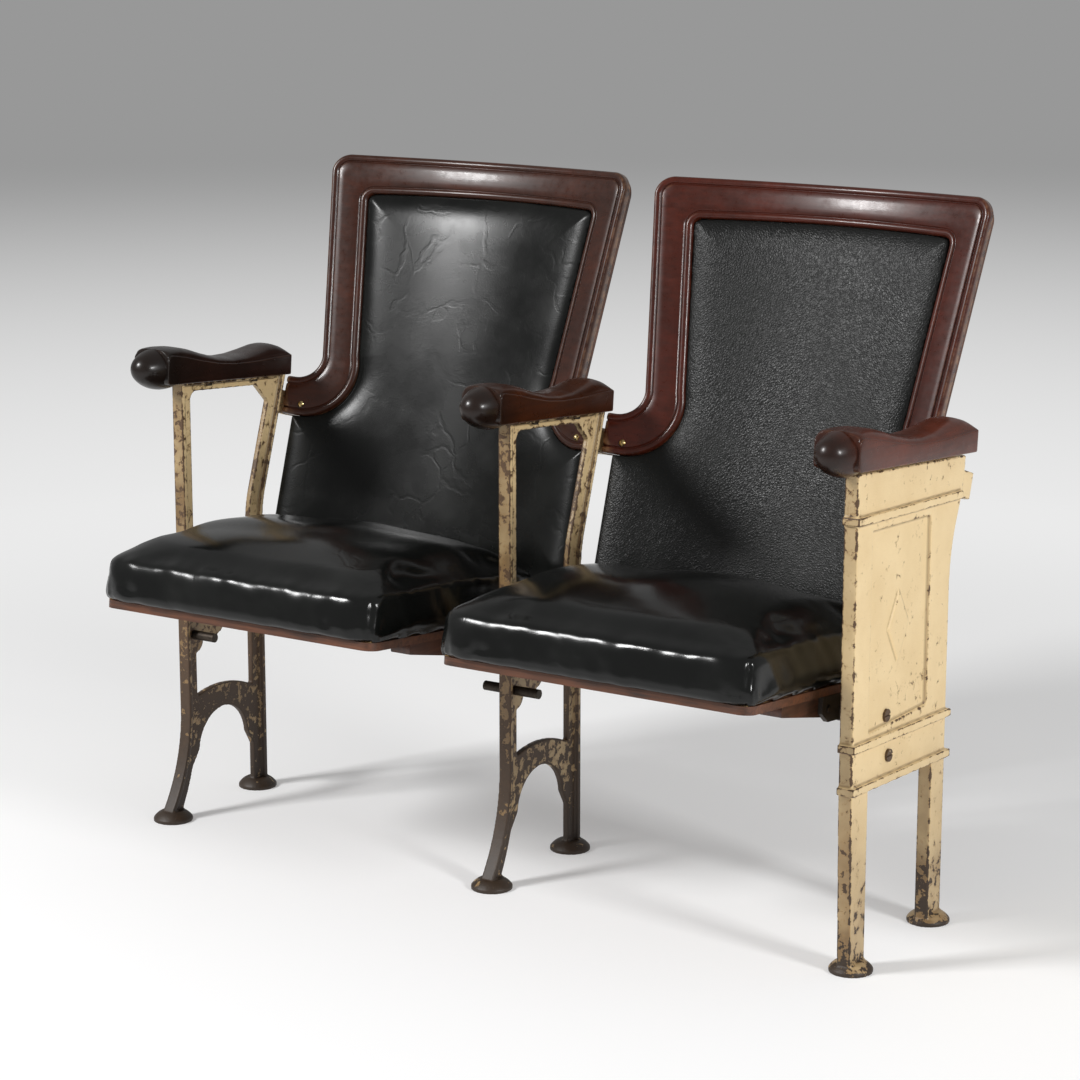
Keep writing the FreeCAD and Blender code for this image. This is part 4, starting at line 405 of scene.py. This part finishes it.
def mirrored(half):
    """A right half that ends on the middle line, with its mirror image after it."""
    return half + [Vector((-point.x, point.y)) for point in reversed(half[:-1])]


def crest_run(half, low, rise, count):
    radius = (half ** 2 + rise ** 2) / (2 * rise)
    whole = arc((half, low), (-half, low), radius, False, 2 * count)
    return whole[:count] + [Vector((0, low + rise))]


outer_edge = mirrored(
    arc((243, -54), (236, -54), None, False, 3)
    + arc((236, -54), (204, -22), 32, True, 22)
    + arc((204, -22), (stile_edge(230, 0), 230), None, False, 26)
    + arc((stile_edge(230, 0), 230), (stile_edge(256, 0) - 26, 256), 26, False, 16)
    + crest_run(stile_edge(256, 0) - 26, 256, 8, 26))
heel_x = stile_edge(-16, 50)
inner_edge = mirrored(
    arc((243, -105.5), (heel_x + 62, -105.5), None, False, 3)
    + arc((heel_x + 62, -105.5), (heel_x, -16), 72, True, 22)
    + arc((heel_x, -16), (stile_edge(196, 50), 196), None, False, 26)
    + arc((stile_edge(196, 50), 196), (stile_edge(206, 50) - 10, 206), 10, False, 16)
    + crest_run(stile_edge(206, 50) - 10, 206, 8, 26))


def shifted(edge, distance, inwards):
    """The outline moved square to itself, towards the panel or away from it."""
    moved = []
    for i, point in enumerate(edge):
        ahead = edge[min(i + 1, len(edge) - 1)] - edge[max(i - 1, 0)]
        left = Vector((-ahead.y, ahead.x)).normalized()
        moved.append(point + left * (distance if inwards else -distance))
    moved[0].x, moved[-1].x = edge[0].x, edge[-1].x
    return moved


# Each row of the moulding: from which edge, how far in, how deep behind the face.
moulding_rows = [
    ("outer", 0, 15), ("outer", 0, 6), ("outer", 0.5, 3.4), ("outer", 1.6, 1.7), ("outer", 3.4, 0.7),
    ("outer", 5.6, 0.3), ("outer", 7.6, 0.6), ("outer", 8.7, 1.3), ("outer", 9.3, 2.5), ("outer", 9.9, 2.8),
    ("outer", 10.5, 2.4), ("outer", 11.0, 1.2), ("outer", 12.2, 0.6),
    ("field", 0.25, 0.25), ("field", 0.5, 0.1), ("field", 0.75, 0.3),
    ("inner", 11.5, 0.8), ("inner", 10.4, 1.2), ("inner", 9.8, 2.4), ("inner", 9.2, 2.8), ("inner", 8.6, 2.4),
    ("inner", 8.0, 1.2), ("inner", 6.6, 0.4), ("inner", 4.8, 0.1), ("inner", 3.0, 0.4), ("inner", 1.5, 1.3),
    ("inner", 0.5, 2.8), ("inner", 0, 4.6), ("inner", 0, 15),
]
field_outer = shifted(outer_edge, 12.2, True)
field_inner = shifted(inner_edge, 11.5, False)
back_finishes = (("left", -1, "#4d2414", "#1a0d07"), ("right", 1, "#5c2213", "#230d06"))
for word, side, light, deep in back_finishes:
    points = []
    for source, inset, behind in moulding_rows:
        if source == "outer":
            line = shifted(outer_edge, inset, True)
        elif source == "inner":
            line = shifted(inner_edge, inset, False)
        else:
            line = [a.lerp(b, inset) for a, b in zip(field_outer, field_inner)]
        points += [back_place(side, point.x, behind, point.y) for point in line]
    columns, rows = len(outer_edge), len(moulding_rows)
    faces = []
    for row in range(rows):
        near, next_row = row * columns, (row + 1) % rows * columns
        faces += [(near + i, near + i + 1, next_row + i + 1, next_row + i) for i in range(columns - 1)]
    faces.append([row * columns for row in range(rows)])
    faces.append([row * columns + columns - 1 for row in reversed(range(rows))])
    moulded = new_mesh("moulded_back_%s" % word, points, faces)
    moulded.data.polygons.foreach_set("use_smooth", [True] * len(moulded.data.polygons))
    shape = bmesh.new()
    shape.from_mesh(moulded.data)
    bmesh.ops.recalc_face_normals(shape, faces=shape.faces)
    shape.to_mesh(moulded.data)
    shape.free()
    moulded.data.materials.append(polished_wood("polished_hardwood_back_" + word, light, deep, "#b08460",
                                                (0.05, 1, 1)))
    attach(moulded, "root")
    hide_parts("back_%s_frame" % word)


# The padded panels are black vinyl, stretched over thin felt and tacked down at the edge. The
# left one has gone smooth and creased, and the right one still shows its pebbled grain.
def black_vinyl(name, pebble, crease, rough_low, rough_high, shine):
    """Calendered vinyl cloth: near black, glossy where rubbed, with an embossed leather grain
    and a few long soft creases."""
    material, tree, output = new_material(name)
    place = add(tree, "TexCoord").outputs["Object"]
    bent = add(tree, "TexNoise", {"Vector": place, "Scale": 120, "Detail": 2})
    bent = add(tree, "VectorMath", {0: bent.outputs["Color"], 1: (0.006, 0.006, 0.006)}, operation="MULTIPLY")
    bent = add(tree, "VectorMath", {0: place, 1: bent.outputs[0]}, operation="ADD")
    # The real grain is about 1 mm; it is drawn 3 mm wide so that it shows.
    pebbles = add(tree, "TexVoronoi", {"Vector": bent.outputs[0], "Scale": 330}, feature="DISTANCE_TO_EDGE")
    grains = add(tree, "MapRange", {"Value": pebbles.outputs["Distance"], "From Max": 0.35})
    # Creases wander for 100 mm or more, in a few places only.
    warped = add(tree, "TexNoise", {"Vector": place, "Scale": 14, "Detail": 3, "Roughness": 0.45})
    warped = add(tree, "VectorMath", {0: warped.outputs["Color"], 1: (0.09, 0.09, 0.09)}, operation="MULTIPLY")
    warped = add(tree, "VectorMath", {0: place, 1: warped.outputs[0]}, operation="ADD")
    cracks = add(tree, "TexVoronoi", {"Vector": warped.outputs[0], "Scale": 15}, feature="DISTANCE_TO_EDGE")
    creases = add(tree, "MapRange", {"Value": cracks.outputs["Distance"], "From Max": 0.045})
    rubbed = add(tree, "TexNoise", {"Vector": place, "Scale": 9, "Detail": 5, "Roughness": 0.6})
    places = add(tree, "MapRange", {"Value": rubbed.outputs[0], "From Min": 0.44, "From Max": 0.62})
    whole = add(tree, "Math", {0: 1.0, 1: places.outputs[0]}, operation="SUBTRACT")
    creases = add(tree, "Math", {0: creases.outputs[0], 1: whole.outputs[0]}, operation="MAXIMUM")
    rough = add(tree, "MapRange", {"Value": rubbed.outputs[0], "From Min": 0.35, "From Max": 0.65,
                                   "To Min": rough_low, "To Max": rough_high})
    dust = add(tree, "MapRange", {"Value": rubbed.outputs[0], "From Min": 0.45, "From Max": 0.75, "To Max": 0.5})
    tone = add(tree, "Mix", {0: dust.outputs[0], 6: linear("#0b0c0b"), 7: linear("#1b1c1a")}, data_type="RGBA")
    grain = add(tree, "Bump", {"Height": grains.outputs[0], "Strength": pebble, "Distance": 0.0005})
    folds = add(tree, "Bump", {"Height": creases.outputs[0], "Strength": crease, "Distance": 0.0009,
                               "Normal": grain.outputs[0]})
    shade = add(tree, "BsdfPrincipled", {"Base Color": tone.outputs[2], "Roughness": rough.outputs[0],
                                         "Normal": folds.outputs[0], "Specular IOR Level": shine})
    tree.links.new(shade.outputs[0], output.inputs[0])
    return material


panel_cell = 2.6 * MM
panel_low, panel_half, panel_corner = -275, 231, 24
edge_dip, middle_rise, swell_reach = 4.2, 6.3, 16.0
front_layer = 9

right_line = [Vector((0, panel_low))]
right_line += arc((panel_half - panel_corner, panel_low), (panel_half, panel_low + panel_corner), panel_corner,
                  False, 8)
right_line += arc((panel_half, panel_low + panel_corner), (panel_half, -106.3), None, False, 8)
right_line += [Vector((panel_half, -106.3))] + inner_edge[3:len(inner_edge) // 2 + 1]
panel_line = mirrored(right_line)


def distance_to_line(across, up, line):
    """The distance of each point to a closed outline."""
    best = np.full(len(across), 1e9)
    for start, end in zip(line, line[1:] + line[:1]):
        run = end - start
        if run.length < 1e-6:
            continue
        share = ((across - start.x) * run.x + (up - start.y) * run.y) / run.length_squared
        share = np.clip(share, 0, 1)
        best = np.minimum(best, np.hypot(across - start.x - share * run.x, up - start.y - share * run.y))
    return best


def read_points(piece):
    spots = np.empty(len(piece.data.vertices) * 3)
    piece.data.vertices.foreach_get("co", spots)
    return spots.reshape(-1, 3)


def write_points(piece, spots):
    piece.data.vertices.foreach_set("co", np.ravel(spots))
    piece.data.update()


lean_rows = np.array(Matrix.Rotation(back_lean, 3, "X"))
panel_finishes = (("left", -1, 0.05, 0.12, 0.20, 0.32, 0.20), ("right", 1, 0.42, 0.05, 0.34, 0.44, 0.26))
for word, side, *finish in panel_finishes:
    panel = copy_of("back_%s_panel" % word, "vinyl_panel_" + word)
    soften(panel, panel_cell, 1)
    origin = np.array((side * seat_off_middle, back_ahead, back_level))
    spots = (read_points(panel) - origin) @ lean_rows / MM
    across, depth, up = spots.T
    behind = np.hypot(across, depth + back_radius) - back_radius
    inside = distance_to_line(across, up, panel_line)
    # The vinyl dips 4.2 mm behind the face at its edge and stands 6.3 mm proud in the middle.
    swell = edge_dip - (edge_dip + middle_rise) * (1 - np.exp(-inside / swell_reach))
    behind = np.where(behind < front_layer, swell, behind)
    spots[:, 1] = np.sqrt((back_radius + behind) ** 2 - across ** 2) - back_radius
    write_points(panel, spots * MM @ lean_rows.T + origin)
    panel.data.materials.append(black_vinyl("black_vinyl_back_" + word, *finish))
    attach(panel, "root")
    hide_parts("back_%s_panel" % word)


# Each seat cushion is black vinyl over foam and springs, boxed, and closed on the board. The
# cover is blown up by the stuffing, so its walls bulge and its top crowns.
seat_lean = math.radians(-6)
seat_rows = np.array(Matrix.Rotation(seat_lean, 3, "X"))
seat_level = 0.291
seat_ahead = -0.06354
seam_round = 5 * MM
held_below, stuffed_above = 0.034, 0.048
wall_cap, top_cap = 2.5, 9.0
cushion_finish = black_vinyl("black_vinyl_seat", 0.04, 0.10, 0.13, 0.24, 0.32)
cushion_half, cushion_front, cushion_rear, cushion_floor, cushion_seam = 210, -236, 155, 30.5, 86.5
draws = np.random.default_rng(7)


def ripple(along, shortest, longest, count):
    """An uneven wave along a line, from sines between two wavelengths in millimetres."""
    total = np.zeros(len(along))
    for wavelength in draws.uniform(shortest, longest, count):
        total += np.sin(2 * math.pi * along / wavelength + draws.uniform(0, 2 * math.pi))
    return total / math.sqrt(count)


for word, side in (("left", -1), ("right", 1)):
    cushion = copy_of("seat_%s_cover" % word, "seat_cushion_" + word)
    shape = bmesh.new()
    shape.from_mesh(cushion.data)
    hull = bmesh.ops.convex_hull(shape, input=shape.verts)
    keep = {item for item in hull["geom"] if isinstance(item, bmesh.types.BMFace)}
    bmesh.ops.delete(shape, geom=[face for face in shape.faces if face not in keep], context="FACES")
    bmesh.ops.delete(shape, geom=[vert for vert in shape.verts if not vert.link_faces], context="VERTS")
    shape.to_mesh(cushion.data)
    shape.free()
    centre = np.array((side * seat_off_middle, seat_ahead, seat_level))
    spots = (read_points(cushion) - centre) @ seat_rows
    shrink = np.array((0.999, 0.999, 0.96))
    middle = np.array((0, -0.04, 0.0305))
    spots = (spots - middle) * shrink + middle
    write_points(cushion, spots @ seat_rows.T + centre)
    soften(cushion, seam_round, 1)
    start_spots = read_points(cushion).copy()
    low = ((start_spots - centre) @ seat_rows)[:, 2] < held_below
    held = cushion.vertex_groups.new(name="tacked")
    held.add([int(i) for i in np.nonzero(low)[0]], 1.0, "REPLACE")
    cloth = cushion.modifiers.new("stuffing", "CLOTH")
    cloth.settings.use_pressure = True
    cloth.settings.uniform_pressure_force = 4
    cloth.settings.vertex_group_mass = "tacked"
    cloth.settings.effector_weights.gravity = 0
    for moment in range(1, 21):
        scene.frame_set(moment)
    apply_all(cushion)
    swollen = read_points(cushion)
    moved = swollen - start_spots
    length = np.linalg.norm(moved, axis=1, keepdims=True)
    on_top = np.clip((((start_spots - centre) @ seat_rows)[:, 2:] / MM - cushion_seam) / 12, 0, 1)
    cap = (wall_cap + (top_cap - wall_cap) * on_top) * MM
    write_points(cushion, start_spots + moved * np.minimum(1, cap / np.maximum(length, 1e-9)))
    scene.frame_set(1)
    stuffed = cushion.vertex_groups.new(name="stuffed")
    over_frame = ((read_points(cushion) - centre) @ seat_rows)[:, 2] > stuffed_above
    stuffed.add([int(i) for i in np.nonzero(over_frame)[0]], 1.0, "REPLACE")
    settled = cushion.modifiers.new("settled", "SMOOTH")
    settled.vertex_group = "stuffed"
    settled.factor = 0.5
    settled.iterations = 14
    finer = cushion.modifiers.new("finer", "SUBSURF")
    finer.levels = finer.render_levels = 1
    apply_all(cushion)
    # The cover is gathered a little along its sewn edge, pleated at the front corners, drawn in
    # over the tacks, and dented on top where people sat.
    normals = np.empty(len(cushion.data.vertices) * 3)
    cushion.data.vertices.foreach_get("normal", normals)
    across, deep, up = ((read_points(cushion) - centre) @ seat_rows / MM).T
    wall = np.minimum(cushion_half - abs(across), deep - cushion_front)
    along = np.where(cushion_half - abs(across) < deep - cushion_front, deep, across)
    from_seam = np.hypot(np.maximum(wall, 0), up - cushion_seam)
    gather = 0.38 * ripple(along, 22, 95, 8) * np.exp(-(from_seam / 12) ** 2)
    creep = 0.25 * ripple(along + 0.6 * up, 24, 70, 6) * np.exp(-(np.maximum(wall, 0) / 14) ** 2)
    on_wall = np.clip((cushion_seam + 4 - up) / 8, 0, 1)
    pleat = -1.6 * np.exp(-((cushion_half - abs(across) - 9) / 2.6) ** 2) * (deep < cushion_front + 9) * on_wall
    tacks = -1.0 * np.exp(-((up - cushion_floor - 3) / 3.5) ** 2) * (wall < 9)
    top = np.clip((up - cushion_seam - 6) / 20, 0, 1)
    dents = top * (1.3 * ripple(across + 0.3 * deep, 90, 220, 4) + 1.1 * ripple(deep - 0.2 * across, 90, 260, 4)
                   - 3.0 * np.exp(-((across + 20) / 120) ** 2 - ((deep + 60) / 110) ** 2))
    moved = (gather + creep + pleat + tacks + dents)[:, None] * MM * normals.reshape(-1, 3)
    # The folded corners stand a little proud over the box frame's corners.
    outward = np.stack([np.sign(across), np.where(deep < 0, -1, 1), np.zeros(len(deep))], axis=1) @ seat_rows.T
    corner_deep = np.where(deep < 0, deep - cushion_front, deep - cushion_rear + 30)
    fold = 3.4 * np.exp(-((cushion_half - abs(across)) ** 2 + corner_deep ** 2) / 160)
    fold *= np.clip((cushion_floor + 34 - up) / 16, 0, 1)
    write_points(cushion, read_points(cushion) + moved + fold[:, None] * MM * outward)
    cushion.data.polygons.foreach_set("use_smooth", [True] * len(cushion.data.polygons))
    cushion.data.materials.clear()
    cushion.data.materials.append(cushion_finish)
    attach(cushion, "seat_" + word)
    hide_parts("seat_%s_cover" % word, "seat_%s_foam" % word)


# The plain parts keep their solids and get the finish of the real ones: plywood boards, pine and
# hardwood under the seats, turned steel, brass, rubber and rough iron brackets.
def plain_finish(name, light, deep, scale, stretch, rough_low, rough_high, metal=0.0, dent=0.0003):
    """A solid's own colour in fine clouds or grain, with matt and rubbed patches."""
    material, tree, output = new_material(name)
    place = add(tree, "TexCoord").outputs["Object"]
    along = add(tree, "Mapping", {"Vector": place, "Scale": stretch})
    grain = add(tree, "TexNoise", {"Vector": along.outputs[0], "Scale": scale, "Detail": 5, "Roughness": 0.65})
    patches = add(tree, "TexNoise", {"Vector": place, "Scale": 24, "Detail": 4})
    both = add(tree, "Math", {0: patches.outputs[0], 1: 0.6, 2: grain.outputs[0]}, operation="MULTIPLY_ADD")
    share = add(tree, "MapRange", {"Value": both.outputs[0], "From Min": 0.55, "From Max": 1.05})
    tone = add(tree, "Mix", {0: share.outputs[0], 6: linear(light), 7: linear(deep)}, data_type="RGBA")
    rough = add(tree, "MapRange", {"Value": patches.outputs[0], "From Min": 0.3, "From Max": 0.7,
                                   "To Min": rough_low, "To Max": rough_high})
    relief = add(tree, "Bump", {"Height": grain.outputs[0], "Strength": 0.3, "Distance": dent})
    shade = add(tree, "BsdfPrincipled", {"Base Color": tone.outputs[2], "Roughness": rough.outputs[0],
                                         "Metallic": metal, "Normal": relief.outputs[0]})
    tree.links.new(shade.outputs[0], output.inputs[0])
    return material


across_grain = (0.04, 1, 1)
along_grain = (1, 0.04, 1)
even_grain = (1, 1, 1)
finishes = {
    "plywood": plain_finish("stained_plywood", "#6b4029", "#2c1a10", 220, across_grain, 0.35, 0.55),
    "stained_hardwood": plain_finish("stained_rail", "#54301f", "#26160e", 200, along_grain, 0.35, 0.55),
    "pine": plain_finish("raw_pine", "#cfae7c", "#a37f4d", 150, across_grain, 0.6, 0.75),
    "cast_iron": plain_finish("bare_cast_iron", "#3b3128", "#1c1712", 500, even_grain, 0.5, 0.7, 0.3, 0.0005),
    "steel": plain_finish("blackened_steel", "#4a4138", "#231d18", 400, even_grain, 0.4, 0.6, 0.7),
    "brass": plain_finish("worn_brass", "#e3cf9a", "#a98a52", 400, even_grain, 0.18, 0.35, 1.0),
    "rubber": plain_finish("black_rubber", "#1f1e1c", "#121110", 300, even_grain, 0.7, 0.85),
}
slots = {part["node"]: part["material_slot"] for part in frame["record"]["subparts"]}
for node, slot in slots.items():
    if slot in finishes and not node.startswith(("arm_l", "arm_m", "arm_e")) and not node.endswith("_frame"):
        solid = frame["nodes"][node]
        solid.data.materials.clear()
        painted = node in ("pivot_pin_end", "stop_stud_end")
        solid.data.materials.append(end_enamel if painted else finishes[slot])
for word in ("left", "right"):
    solid = frame["nodes"]["seat_%s_box_frame" % word]
    solid.data.materials.clear()
    solid.data.materials.append(finishes["pine"])
